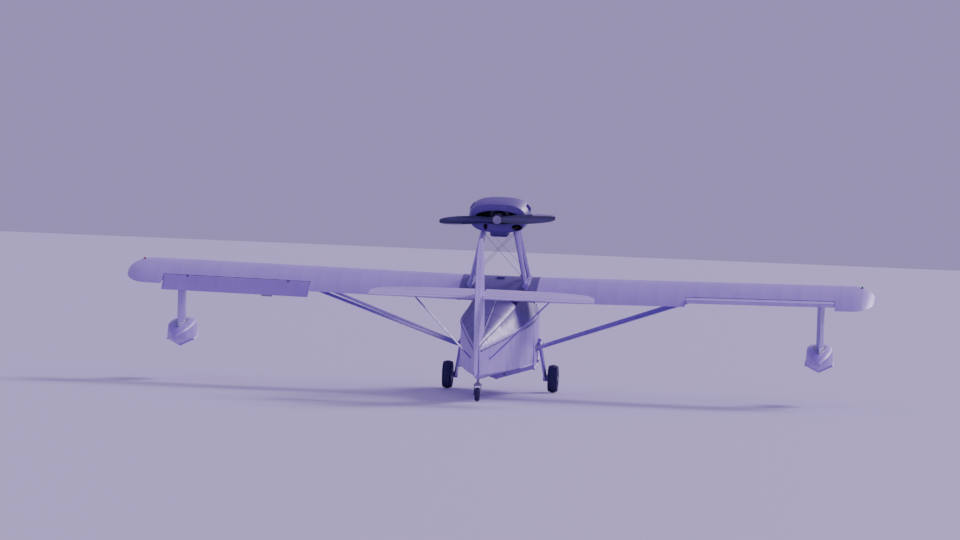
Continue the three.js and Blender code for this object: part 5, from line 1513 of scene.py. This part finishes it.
# %% Fin and rudder
TAIL_HALF, TAILPLANE_Z, TAIL_SAG = 0.020, 1.750, 0.002
RUDDER_Y, ELEVATOR_Y, ELEVATOR_REST = 6.610, 6.190, radians(8)
TAILPLANE_LEAD = [[0.0204, 5.480], [0.900, 5.530], [1.300, 5.620], [1.500, 5.740], [1.595, 5.940]]
FIN_LEAD = [[1.060, 5.560], [1.400, 5.650], [2.000, 5.860], [2.400, 6.060], [2.620, 6.290]]
RUDDER_CHORD = [[0.740, 0.330], [0.900, 0.480], [1.200, 0.572], [1.750, 0.588], [2.000, 0.560],
                [2.250, 0.520], [2.520, 0.400], [2.630, 0.230]]
ELEVATOR_CHORD = [[0.050, 0.330], [0.220, 0.400], [1.350, 0.340], [1.520, 0.250], [1.595, 0.120]]


def fixed_ring(lead, hinge_y, sag=0.0, arc=10):
    """Pairs (aft, across): a square back before a hinge and a half-round nose; cloth sags between."""
    back = hinge_y - TAIL_HALF - GAP
    top = [(back + (lead + TAIL_HALF - back) * t, TAIL_HALF - sag * sin(pi * t))
           for t in steps(0, 1, 8)]
    front = [(lead + TAIL_HALF * (1 + cos(a)), TAIL_HALF * sin(a))
             for a in steps(pi / 2, pi * 1.5, arc)]
    return top + front[1:-1] + [(y, -z) for y, z in reversed(top)]


def bays(first, last, count):
    return bay_stations(first, last + 0.004, (last - first) / count) + [(last, 0.0)]


elevator_line = Vector((0, ELEVATOR_Y, TAILPLANE_Z))
tube_hole = tube([elevator_line - PORT * 0.06, elevator_line + PORT * 0.06], 0.022, 32)
fin = skin([[(x, y, z) for y, x in fixed_ring(spline(FIN_LEAD, z)[1], RUDDER_Y)]
            for z in steps(1.060, 2.620, 52)])
build("fin_skin", fin, hull_enamel, replaces="fin", bevel=0.002, crisp=50, carve=[tube_hole])
rudder_eyes, rudder_slots, rudder_pins = zip(*[
    hinge((0, RUDDER_Y, z), -UP, AFT, TAIL_HALF) for z in (1.260, 2.350, 0.900)])
rudder_rings = [(z, flap_ring(TAIL_HALF, spline(RUDDER_CHORD, z)[1], s * TAIL_SAG))
                for z, s in bays(0.740, 2.630, 9)]
rudder = skin([[(b, RUDDER_Y + a, z) for a, b in ring] for z, ring in rudder_rings])
build("rudder_skin", rudder, rudder_fabric_painted_shade, body="rudder", replaces="rudder", crisp=45,
      carve=rudder_slots)
build("rudder_pins", joined(*rudder_pins), plated_steel, body="rudder", bevel=0.0008)
print("fin stands", 2.620, "m over the keel")

# %% [markdown]
# The **elevator** is one piece on a tube through the fin, so its two halves can't part. It rests a little
# up, as the photograph has it. A strut to the hull's side steadies each half of the tailplane.

# %% Tailplane and elevator
def raised(shape):
    return spun(shape, elevator_line, PORT, ELEVATOR_REST)


elevator_eyes, elevator_slots, elevator_pins = zip(*[
    hinge((x, ELEVATOR_Y, TAILPLANE_Z), PORT, AFT, TAIL_HALF) for x in (0.480, 1.300)])
tailplane = skin([
    [(x, y, TAILPLANE_Z + z) for y, z in fixed_ring(spline(TAILPLANE_LEAD, x)[1], ELEVATOR_Y, s * TAIL_SAG)]
    for x, s in bays(0.0204, 1.595, 6)
])
elevator = skin([
    [(x, ELEVATOR_Y + a, TAILPLANE_Z + b) for a, b in
     flap_ring(TAIL_HALF, spline(ELEVATOR_CHORD, x)[1], s * TAIL_SAG)]
    for x, s in bays(0.050, 1.595, 6)
])
build("tail_hinge_lugs", joined(*rudder_eyes, both(*elevator_eyes)), plated_steel, bevel=0.001)
pair("tailplane_{}_skin", tailplane, tail_fabric_painted_light, replaces="tailplane_{}", crisp=45)
build("elevator_skin", raised(both(elevator)), tail_fabric_painted_light, body="elevator", replaces="elevator", crisp=45,
      carve=[raised(sided(slot, side)) for slot in elevator_slots for side, _ in SIDES])
torque_tube = tube([elevator_line - PORT * 0.06, elevator_line + PORT * 0.06], 0.016, 24)
build("elevator_tube_and_pins", raised(joined(torque_tube, both(*elevator_pins))),
      plated_steel, body="elevator", bevel=0.0008)
tab_corners = ((0.335, -0.002), (0.395, -0.001), (0.395, 0.001), (0.335, 0.007))
tab = skin([[elevator_line + Vector((x, a, b)) for a, b in tab_corners] for x in (-0.62, -0.94)])
build("elevator_trim_tab", raised(tab), rolled_aluminium, body="elevator", bevel=0.0006)
foot, top = Vector((0.112, 5.950, 0.814)), Vector((0.988, 5.882, TAILPLANE_Z - 0.038))
along = (top - foot).normalized()
pair("tail_strut_{}_tube", faired(foot, top, 0.060, 0.40, narrow=0.35), shaded_strut_enamel,
     replaces="tail_strut_{}", crisp=50)
ends = joined(lug(foot + along * 0.010, along, 0.06, 0.028), lug(top - along * 0.006, along, 0.06, 0.028),
              slab((1.000, 5.880, TAILPLANE_Z - 0.022), (0.060, 0.050, 0.006)))
pair("tail_strut_{}_lugs", ends, plated_steel, bevel=0.0008)
print("tail spans", 1.595 * 2, "m")

# %% [markdown]
# **The landing gear** swings from a pivot tube on each side of the hull, with a faired leg, a drag rod
# and a knuckle that carries the axle. The photograph shows it drawn up for the water; here it is down,
# because the part stands as it parks.

# %% Main gear legs
AXLE_RADIUS = 0.022
AXLE_LINE = Vector((0, AXLE.y, AXLE.z))
pivot = [(1.990, 0.030), (1.992, 0.040), (2.000, 0.042), (2.060, 0.042), (2.064, 0.036), (2.256, 0.036),
         (2.260, 0.042), (2.320, 0.042), (2.328, 0.040), (2.330, 0.030)]
knuckle = [(0.640, 0.036), (0.644, 0.044), (0.650, 0.046), (0.694, 0.046), (0.700, 0.044), (0.704, 0.036)]
leg = joined(
    turned(pivot, (0.588, 0, 0.430), AFT, 40),
    turned(knuckle, AXLE_LINE, PORT, 40),
    faired((0.590, 2.130, 0.430), AXLE_LINE + PORT * 0.672, 0.150, 0.36, count=18),
    tube([(0.590, 2.300, 0.430), AXLE_LINE + Vector((0.672, 0.020, 0.020))], 0.020, 24),
    *[slab((0.560, y, 0.430), (0.050, 0.046, 0.130)) for y in (2.030, 2.290)],
)
pair("gear_leg_{}_frame", leg, shaded_strut_enamel, replaces="gear_leg_{}", bevel=0.002, crisp=50)
stub = [(0.690, 0.030), (0.712, 0.030), (0.714, AXLE_RADIUS), (0.850, AXLE_RADIUS), (0.852, 0.016),
        (0.858, 0.016), (0.858, 0)]
bolts = [bolt((0.584, y, z), PORT, 0.007, 0.007)
         for y in (2.018, 2.042, 2.278, 2.302) for z in (0.382, 0.478)]
pair("axle_{}", joined(turned(stub, AXLE_LINE, PORT), *bolts), plated_steel, bevel=0.0008)
caliper = joined(slab(AXLE_LINE + Vector((0.722, 0.090, 0.045)), (0.030, 0.060, 0.075)),
                 slab(AXLE_LINE + Vector((0.708, 0.050, 0.020)), (0.010, 0.110, 0.060)))
pair("brake_caliper_{}", caliper, cast_aluminium, bevel=0.004)
print("axles stand", round(level(AXLE).z, 4), "m over the ground")

# %% [markdown]
# **Wheels** are cast rims with a bolted hub, and low-pressure tyres with ribs round the tread. A groove
# is drawn into the lathe profile rather than painted, so the ribs catch the light at their edges.

# %% Tyres and rims
def tyre_profile(radius, rim, width, grooves, deep):
    """Bead, sidewall and crown with ribs, from one bead round to the other, closed."""
    half, tall = width / 2, radius - rim
    wall = [(half * 0.58, rim + 0.001), (half * 0.66, rim + 0.006), (half * 0.86, rim + tall * 0.14),
            (half * 0.975, rim + tall * 0.32), (half, rim + tall * 0.48), (half * 0.985, rim + tall * 0.64),
            (half * 0.93, radius - tall * 0.20), (half * 0.84, radius - tall * 0.09)]

    def crown(s):
        return radius - 0.018 * radius / 0.21 * (abs(s) / half / 0.78) ** 2.6

    tread = [half * 0.76]
    cuts = [0]
    for centre in steps(half * 0.62, -half * 0.62, grooves - 1):
        tread += [centre + s for s in (0.0032, 0.0022, -0.0022, -0.0032)]
        cuts += [0, deep, deep, 0]
    face = [(s, crown(s) - cut) for s, cut in zip(tread + [-half * 0.76], cuts + [0])]
    ring = wall + face + [(-s, r) for s, r in reversed(wall)]
    return ring + [ring[0]]


def rim_profile(radius, width, bore, size=1.0):
    """Hub, web and flanges, closed; size scales their steps, so a small rim keeps the same proportions."""
    half = width / 2
    hub = [(0.74, 0), (0.74, 0.012), (0.70, 0.016), (0.34, 0.020), (0.28, 0.028)]
    flange = [(0.28, -0.022), (0.34, -0.014), (0.56, -0.012), (0.60, -0.006), (0.60, 0.004), (0.56, 0.006),
              (0.54, 0)]
    outer = [(half * s, start + r * size)
             for start, rows in ((bore, hub), (radius, flange)) for s, r in rows]
    return outer + [(-s, r) for s, r in reversed(outer)] + [outer[0]]


def around(count, radius, make, phase=0.0):
    """The same small shape at even steps round the port direction."""
    return [make((AFT * cos(a + phase) + UP * sin(a + phase)) * radius) for a in circle(count)]


def cross_hole(centre, reach, radius, sides):
    """A straight hole through a wheel."""
    return tube([centre - PORT * reach, centre + PORT * reach], radius, sides)


MAIN_RADIUS = level(AXLE).z - 0.0008
tyre = turned(tyre_profile(MAIN_RADIUS, 0.118, 0.150, 5, 0.005), AXLE, PORT, 120)
pair("tyre_{}_tread", tyre, tyre_rubber, "wheel_{}", "tyre_{}", crisp=32)
bead = [(-0.002, 0.145), (-0.001, 0.148), (0.001, 0.148), (0.002, 0.145), (-0.002, 0.145)]
beads = [turned(bead, AXLE + PORT * s, PORT, 96) for s in (0.0695, -0.0695)]
pair("tyre_{}_beads", joined(*beads), tyre_rubber, "wheel_{}")
rim = turned(rim_profile(0.117, 0.150, AXLE_RADIUS + 0.0006), AXLE, PORT, 96)
pair("wheel_{}_rim", rim, rolled_aluminium, "wheel_{}", "wheel_rim_{}", bevel=0.0012, crisp=40,
     carve=around(6, 0.078, lambda p: cross_hole(AXLE + p, 0.05, 0.015, 24)))
studs = around(6, 0.052, lambda p: bolt(AXLE + p + PORT * 0.023, PORT, 0.006, 0.006), pi / 6)
cap = [(0.054, AXLE_RADIUS + 0.002), (0.054, 0.033), (0.060, 0.033), (0.071, 0.028), (0.0735, 0.020),
       (0.0745, 0.0)]
disc = turned(washer(-0.062, -0.057, 0.044, 0.098), AXLE, PORT, 64)
valve = tube([AXLE + Vector((0.020, 0, 0.106)), AXLE + Vector((0.045, 0, 0.100))], [0.004, 0.003])
hub = joined(*studs, turned(cap, AXLE, PORT, 48), disc, valve)
pair("wheel_{}_hub", hub, plated_steel, "wheel_{}", bevel=0.0008)
print("main tyres", round(MAIN_RADIUS * 2, 4), "m across")

# %% [markdown]
# **The tail wheel** turns with the rudder in a sprung fork under the stern. Its height is worked out from
# the ground, which the main wheels already stand on.

# %% Tail wheel and fork
TAIL_WHEEL_Y, TAIL_TYRE = 6.310, 0.100
under_axle = AXLE.z * cos(GROUND_ANGLE) - AXLE.y * sin(GROUND_ANGLE) - 0.210
TAIL_AXLE_Z = (under_axle + TAIL_TYRE + TAIL_WHEEL_Y * sin(GROUND_ANGLE)) / cos(GROUND_ANGLE)
tail_axle = Vector((0, TAIL_WHEEL_Y, TAIL_AXLE_Z))
TAIL_RADIUS = level(tail_axle).z - 0.0006
build("tail_tyre_tread", turned(tyre_profile(TAIL_RADIUS, 0.052, 0.066, 3, 0.003), tail_axle, PORT, 96),
      tyre_rubber, body="tail_wheel", replaces="tail_tyre", crisp=32)
build("tail_wheel_rim", turned(rim_profile(0.051, 0.066, 0.0095, 0.42), tail_axle, PORT, 64),
      rolled_aluminium, body="tail_wheel", replaces="tail_rim", bevel=0.0008, crisp=40,
      carve=around(5, 0.030, lambda p: cross_hole(tail_axle + p, 0.03, 0.006, 16)))
crown_z = TAIL_AXLE_Z + 0.130
post = [(crown_z - 0.01, 0), (crown_z - 0.01, 0.020), (0.655, 0.020), (0.660, 0.016), (0.660, 0)]
collar = [(crown_z + 0.012, 0.020), (crown_z + 0.012, 0.034), (crown_z + 0.026, 0.034),
          (crown_z + 0.030, 0.030), (crown_z + 0.030, 0.020)]
boss = [(0.039, 0), (0.039, 0.018), (0.053, 0.018), (0.055, 0.016), (0.055, 0)]
arm = joined(
    faired(tail_axle + PORT * 0.046, (0.046, POST_Y + 0.010, crown_z), 0.050, 0.30),
    turned(boss, tail_axle, PORT),
    bolt(tail_axle + PORT * 0.0555, PORT, 0.011, 0.007),
)
fork = joined(
    turned(post, (0, POST_Y, 0), UP),
    turned(collar, (0, POST_Y, 0), UP, 40),
    slab((0, POST_Y + 0.015, crown_z), (0.108, 0.090, 0.024)),
    tube([tail_axle - PORT * 0.058, tail_axle + PORT * 0.058], 0.009, 24),
    both(arm),
)
build("tail_fork_frame", fork, plated_steel, body="tail_steer", replaces="tail_fork", bevel=0.0015,
      crisp=45)
print("tail wheel", round(TAIL_RADIUS * 2, 4), "m across")


# %% [markdown]
# **Seats** are two stuffed cushions each, in woven cloth, on a plywood pan. A stuffed cushion is not a
# block: its faces crown and its corners draw in. Each starts as a slightly small block of small cells,
# the cloth solver blows it up a little with its rim free, and the move of every point is capped.

# %% Cushions
SWELL, CELL, EDGE = 0.016, 0.008, 0.012
CLOTH_FRAMES = 20


def cushion_block(corner, size, turn, pivot):
    """A block with rounded corners, turned about a line across the seat."""
    (x0, y0, z0), (width, depth, height) = corner, size

    def plan(inset, radius):
        near, far = (x0 + inset, y0 + inset), (x0 + width - inset, y0 + depth - inset)
        return rounded([near, (far[0], near[1]), far, (near[0], far[1])], radius, 6)

    outer, inner = plan(0, 0.035), plan(EDGE, 0.030)
    rings = ((inner, z0), (outer, z0 + EDGE), (outer, z0 + height - EDGE), (inner, z0 + height))
    return spun(skin([[(p.x, p.y, z) for p in ring] for ring, z in rings]), pivot, PORT, radians(turn))


def blown(piece):
    """Runs the cloth solver for a few frames with pressure inside and no gravity."""
    cloth = piece.modifiers.new("stuffing", "CLOTH")
    cloth.settings.quality = 4
    cloth.settings.use_pressure = True
    cloth.settings.uniform_pressure_force = 4.0
    cloth.settings.effector_weights.gravity = 0.0
    cloth.settings.tension_stiffness = 12
    cloth.settings.bending_stiffness = 0.6
    cloth.collision_settings.use_collision = False
    cloth.point_cache.frame_start, cloth.point_cache.frame_end = 1, CLOTH_FRAMES
    for number in range(1, CLOTH_FRAMES + 1):
        bpy.context.scene.frame_set(number)
    applied(piece)
    bpy.context.scene.frame_set(1)


def stuffed(name, shape, channel_along, channels):
    """A cushion: cells, stuffing with every point's move capped, and sewn channels pressed in."""
    piece = placed(name, mesh_of(name, [level(p) for p in shape[0]], shape[1]))
    cells = piece.modifiers.new("cells", "REMESH")
    cells.mode = "VOXEL"
    cells.voxel_size = CELL
    applied(piece)
    before = [v.co.copy() for v in piece.data.vertices]
    blown(piece)
    for v, start in zip(piece.data.vertices, before):
        move = v.co - start
        if move.length > SWELL:
            v.co = start + move.normalized() * SWELL
    piece.modifiers.new("smooth", "SMOOTH").iterations = 4
    finer = piece.modifiers.new("finer", "SUBSURF")
    finer.levels = finer.render_levels = 1
    applied(piece)
    along = tilt @ channel_along
    for place in channels:
        for v in piece.data.vertices:
            off = (along.dot(v.co) - along.dot(level(place))) / 0.007
            if abs(off) < 3:
                v.co -= v.normal * 0.006 * exp(-off * off * 1.8)
    return piece


base = stuffed("seat_left_base",
               cushion_block((0.060, 1.730, 0.478), (0.345, 0.400, 0.092), 5, (0, 1.93, 0.50)),
               AFT, [(0, y, 0.5) for y in (1.83, 1.93, 2.03)])
backrest = stuffed("seat_left_back",
                   cushion_block((0.060, 2.165, 0.560), (0.345, 0.082, 0.405), -10, (0, 2.20, 0.60)),
                   UP, [(0, 2.2, z) for z in (0.67, 0.77, 0.87)])
cushions = [(base, "seat_left"), (backrest, "seat_left")]
for piece, name in ((base, "seat_right_base"), (backrest, "seat_right_back")):
    mesh = piece.data.copy()
    mesh.transform(Matrix.Scale(-1, 4, PORT))
    mesh.flip_normals()
    cushions.append((placed(name, mesh), "seat_right"))
for piece, seat in cushions:
    ridden(piece, seat_cloth, "airframe", seat)
lean, rise = (PORT, (0, 1, -0.18), (0, 0.18, 1)), (PORT, (0, 1, -0.087), (0, 0.087, 1))
pan = joined(
    slab((0.2325, 1.945, 0.440), (0.365, 0.470, 0.014), rise),
    *[slab((x, 1.945, 0.385), (0.016, 0.430, 0.104)) for x in (0.062, 0.403)],
    slab((0.2325, 2.290, 0.700), (0.365, 0.014, 0.640), lean),
)
build("seat_pans", both(pan), seat_plywood, bevel=0.003)
print("cushion cells", len(base.data.vertices), len(backrest.data.vertices))

# %% [markdown]
# **Harnesses** are flat webbing, modelled straight: two straps over each backrest and a lap strap with a
# steel buckle, resting on the cushions' own surface.

# %% Seat harnesses
def laid_on(piece, place, lift):
    """A place moved onto a cushion's surface, and the direction out of it."""
    _, spot, out, _ = piece.closest_point_on_mesh(level(place))
    return spot + out * lift, out


def strap(name, piece, route, width, across):
    """Webbing that follows a route on a cushion; across is the direction of its width."""
    rings = []
    for p in route:
        edges = [Vector(p) + across * s * width / 2 for s in (-1, -0.33, 0.33, 1)]
        top, under = [[laid_on(piece, edge, lift)[0] for edge in edges] for lift in (0.0035, 0.0012)]
        rings.append(top + under[::-1])
    finished(placed(name, mesh_of(name, *skin(rings))), harness_webbing, crisp=40)


for side, word in SIDES:
    seat, support = [bpy.data.objects[f"seat_{word}_{part}"] for part in ("base", "back")]
    for k, x in enumerate((0.165, 0.300)):
        route = [(side * x, 2.185 + 0.18 * (z - 0.62), z) for z in steps(0.99, 0.64, 24)]
        strap(f"harness_{word}_{k}", support, route, 0.044, PORT)
    route = [(side * x, 2.07, 0.60) for x in steps(0.075, 0.390, 20)]
    strap(f"lap_strap_{word}", seat, route, 0.046, AFT)
    centre, out = laid_on(seat, (side * 0.2325, 2.07, 0.62), 0.007)
    buckle = slab(centre, (0.058, 0.052, 0.010), (*basis(out), out))
    finished(placed(f"buckle_{word}", mesh_of("buckle", *buckle)), plated_steel, bevel=0.0025, crisp=30)
print("harnesses laid")

# %% [markdown]
# **The cockpit floor** is slatted ash over the frames, with stringers along the sides and rudder pedals
# ahead. Boards are left apart so that water drains through them to the bilge.

# %% Floorboards, frames and pedals
def lining(y):
    """Half the width between the cockpit's side walls, which spread toward the back."""
    return 0.428 + 0.052 * min(1, (y - 1.165) / 0.335) + max(0, y - 1.5) * 0.0235


boards = [slab((x, 1.690, 0.336), (0.066, 1.280, 0.010)) for x in steps(-0.35, 0.35, 9)]
build("floorboards", joined(*boards), floor_wood, bevel=0.002)
frames = [slab((lining(y) - 0.016, y, 0.590), (0.022, 0.026, 0.500)) for y in steps(1.30, 2.30, 4)]
stringer = ((0.005, -0.009), (0.005, 0.009), (0.017, 0.009), (0.017, -0.009))
for z in (0.52, 0.70):
    frames.append(skin([[(lining(y) - inset, y, z + up) for inset, up in stringer]
                        for y in (1.20, 1.35, 1.50, 1.90, 2.33)]))
build("cockpit_frames", both(*frames), floor_wood, bevel=0.002)
pedals = [tube([(-0.33, 1.02, 0.350), (0.33, 1.02, 0.350)], 0.010, 16)]
pedals += [slab((x, 1.02, 0.342), (0.030, 0.040, 0.026)) for x in (-0.33, 0.0, 0.33)]
for x in (0.12, 0.28, -0.12, -0.28):
    pedals.append(slab((x, 1.000, 0.470), (0.080, 0.012, 0.100), (PORT, (0, 1, 0.35), (0, -0.35, 1))))
    pedals.append(tube([(x, 1.02, 0.350), (x, 1.00, 0.425)], 0.008, 14))
build("rudder_pedal_bars", joined(*pedals), plated_steel, replaces="rudder_pedals", bevel=0.0015)
print(len(boards), "floorboards")

# %% [markdown]
# **The instrument panel** is black crackle paint, with ring-edged dials that carry plain tick marks and a
# hand each. A control wheel stands before each seat on a column that slides through the panel.

# %% Instrument panel and control wheels
PANEL_FACE = 1.3735
panel = [(-0.428, 0.72), (0.428, 0.72), (0.428, 0.83), (0.300, 0.945), (-0.300, 0.945), (-0.428, 0.83)]
build("instrument_panel_board", prism("front", [tuple(p) for p in rounded(panel, 0.02)], 1.340, PANEL_FACE),
      panel_black, replaces="instrument_panel", bevel=0.002)
# Where each dial stands, and its radius
DIALS = [(-0.07, 0.875, 0.040), (0.03, 0.875, 0.040), (0.13, 0.875, 0.040), (-0.02, 0.785, 0.040),
         (0.08, 0.785, 0.040), (-0.17, 0.875, 0.029), (-0.17, 0.800, 0.029), (-0.10, 0.790, 0.029),
         (0.21, 0.870, 0.029)]
rings, faces, marks = [], [], []
for x, z, radius in DIALS:
    spot = Vector((x, PANEL_FACE, z))
    ring = [(-0.001, radius - 0.004), (-0.001, radius), (0.006, radius), (0.008, radius - 0.003),
            (0.004, radius - 0.005), (-0.001, radius - 0.004)]
    rings.append(turned(ring, spot, AFT, 40))
    face = [(-0.001, 0), (-0.001, radius - 0.003), (0.0015, radius - 0.004), (0.0015, 0)]
    faces.append(turned(face, spot, AFT, 40))

    def mark(a, out, proud, width, length):
        along = Vector((sin(a), 0, cos(a)))
        size = (width, 0.0008, length)
        marks.append(slab(spot + along * out + AFT * proud, size, (along.cross(AFT), AFT, along)))

    for a in circle(12):
        mark(a, radius - 0.009, 0.0018, 0.0012, 0.006)
    mark(18.9 * x + z, radius * 0.3, 0.0026, 0.0022, radius * 0.8)
knob = [(-0.001, 0), (-0.001, 0.004), (0.020, 0.004), (0.022, 0.012), (0.032, 0.012), (0.034, 0.009),
        (0.034, 0)]
knobs = [turned(knob, (x, PANEL_FACE, z), AFT, 24)
         for x, z in ((-0.33, 0.760), (-0.28, 0.780), (0.29, 0.760), (0.34, 0.780))]
build("dial_rings", joined(*rings), rolled_aluminium)
build("dial_faces", joined(*faces), dial_face)
build("dial_marks", joined(*marks), panel_black)
build("panel_knobs", joined(*knobs), grip_rubber)
centre = Vector((0.230, 1.470, 0.850))
grip = [centre + Vector((cos(a), 0, sin(a))) * 0.115
        for a in steps(radians(140), radians(400), 48)]
boss = [(-0.014, 0), (-0.014, 0.026), (0.006, 0.026), (0.012, 0.018), (0.012, 0)]
wheel = joined(
    tube(grip, 0.0095, 16),
    turned(boss, centre, AFT),
    tube([centre - PORT * 0.110, centre, centre + PORT * 0.110], [0.009, 0.011, 0.009], 16),
    tube([centre - UP * 0.110, centre], [0.008, 0.010], 16),
)
pair("control_wheel_{}_rim", wheel, grip_rubber, replaces="control_wheel_{}", bevel=0.001, crisp=40)
socket = Vector((0.230, PANEL_FACE, 0.850))
flange = [(0, 0), (0, 0.022), (0.008, 0.022), (0.012, 0.014), (0.012, 0)]
column = joined(tube([socket, (0.230, 1.460, 0.850)], 0.011, 20), turned(flange, socket, AFT))
pair("control_column_{}", column, plated_steel, bevel=0.0006)
print(len(DIALS), "dials")

# %% [markdown]
# **The studio**: a wide pale floor under soft light. In the photograph the low sun stands ahead of the
# wing and to its right, so the nose of the wing shines and the faces toward the camera are in open shade.
# One broad lamp takes the sun's place, a second stands for the sky over the tail, and a pale sky fills
# the rest.

# %% Floor and light
REACH, UNDER_TYRES = 150, -0.002
corners = [(-REACH, -REACH), (REACH, -REACH), (REACH, REACH), (-REACH, REACH)]
floor = placed("floor", mesh_of("floor", [(x, y, UNDER_TYRES) for x, y in corners], [(0, 1, 2, 3)]))
floor.data.materials.append(crackle_paint("brushed pale concrete", "#d9d5e4", "#dedae8"))
world = bpy.data.worlds.new("open sky")
world.use_nodes = True
world.node_tree.nodes["Background"].inputs["Color"].default_value = colour("#bdaaec")
world.node_tree.nodes["Background"].inputs["Strength"].default_value = 0.70
bpy.context.scene.world = world


def lamp(name, toward, spread, strength, tint):
    """Light from one direction over the whole floor; the spread softens its shadows."""
    light = bpy.data.lights.new(name, "SUN")
    light.angle = radians(spread)
    light.energy = strength
    light.color = colour(tint)[:3]
    placed(name, light).rotation_euler = Vector(toward).to_track_quat("Z", "Y").to_euler()


lamp("low sun", (-10, -17, 11), 18, 2.6, "#f1deff")
lamp("sky over the tail", (5, 22, 7), 70, 0.45, "#bda6f2")
print("two lamps and a sky")

# %% [markdown]
# **The camera** looks from behind with a long lens, as the photograph does, a little to the right of the
# tail. The film's horizon leans, so the camera is rolled the same way. The aim is set from where the
# wing's middle falls in the picture.

# %% Camera
DISTANCE, LENS, SENSOR, PICTURE_WIDTH = 80.0, 202.8, 36, 960
AZIMUTH, ELEVATION, ROLL = radians(184.5), radians(1.0), radians(2.3)
camera = placed("film camera", bpy.data.cameras.new("film camera"))
camera.data.lens = LENS
camera.data.sensor_width = SENSOR
camera.data.clip_start, camera.data.clip_end = 1.0, 400.0
bpy.context.scene.camera = camera
level_back = Vector((sin(AZIMUTH), -cos(AZIMUTH), 0))
back = level_back * cos(ELEVATION) + UP * sin(ELEVATION)
looking = (-back).to_track_quat("-Z", "Y").to_matrix() @ Matrix.Rotation(ROLL, 3, "Z")
pixel = SENSOR * DISTANCE / LENS / PICTURE_WIDTH
# The wing's middle stands 20 pixels right of the picture's centre and 15 below it
aim = level((0, 2.66, 1.38)) + (looking.col[1] * 15 - looking.col[0] * 20) * pixel
camera.matrix_world = Matrix.Translation(aim + back * DISTANCE) @ looking.to_4x4()
print("scale at the wing", round(1 / pixel, 1), "pixels a metre")

# %% [markdown]
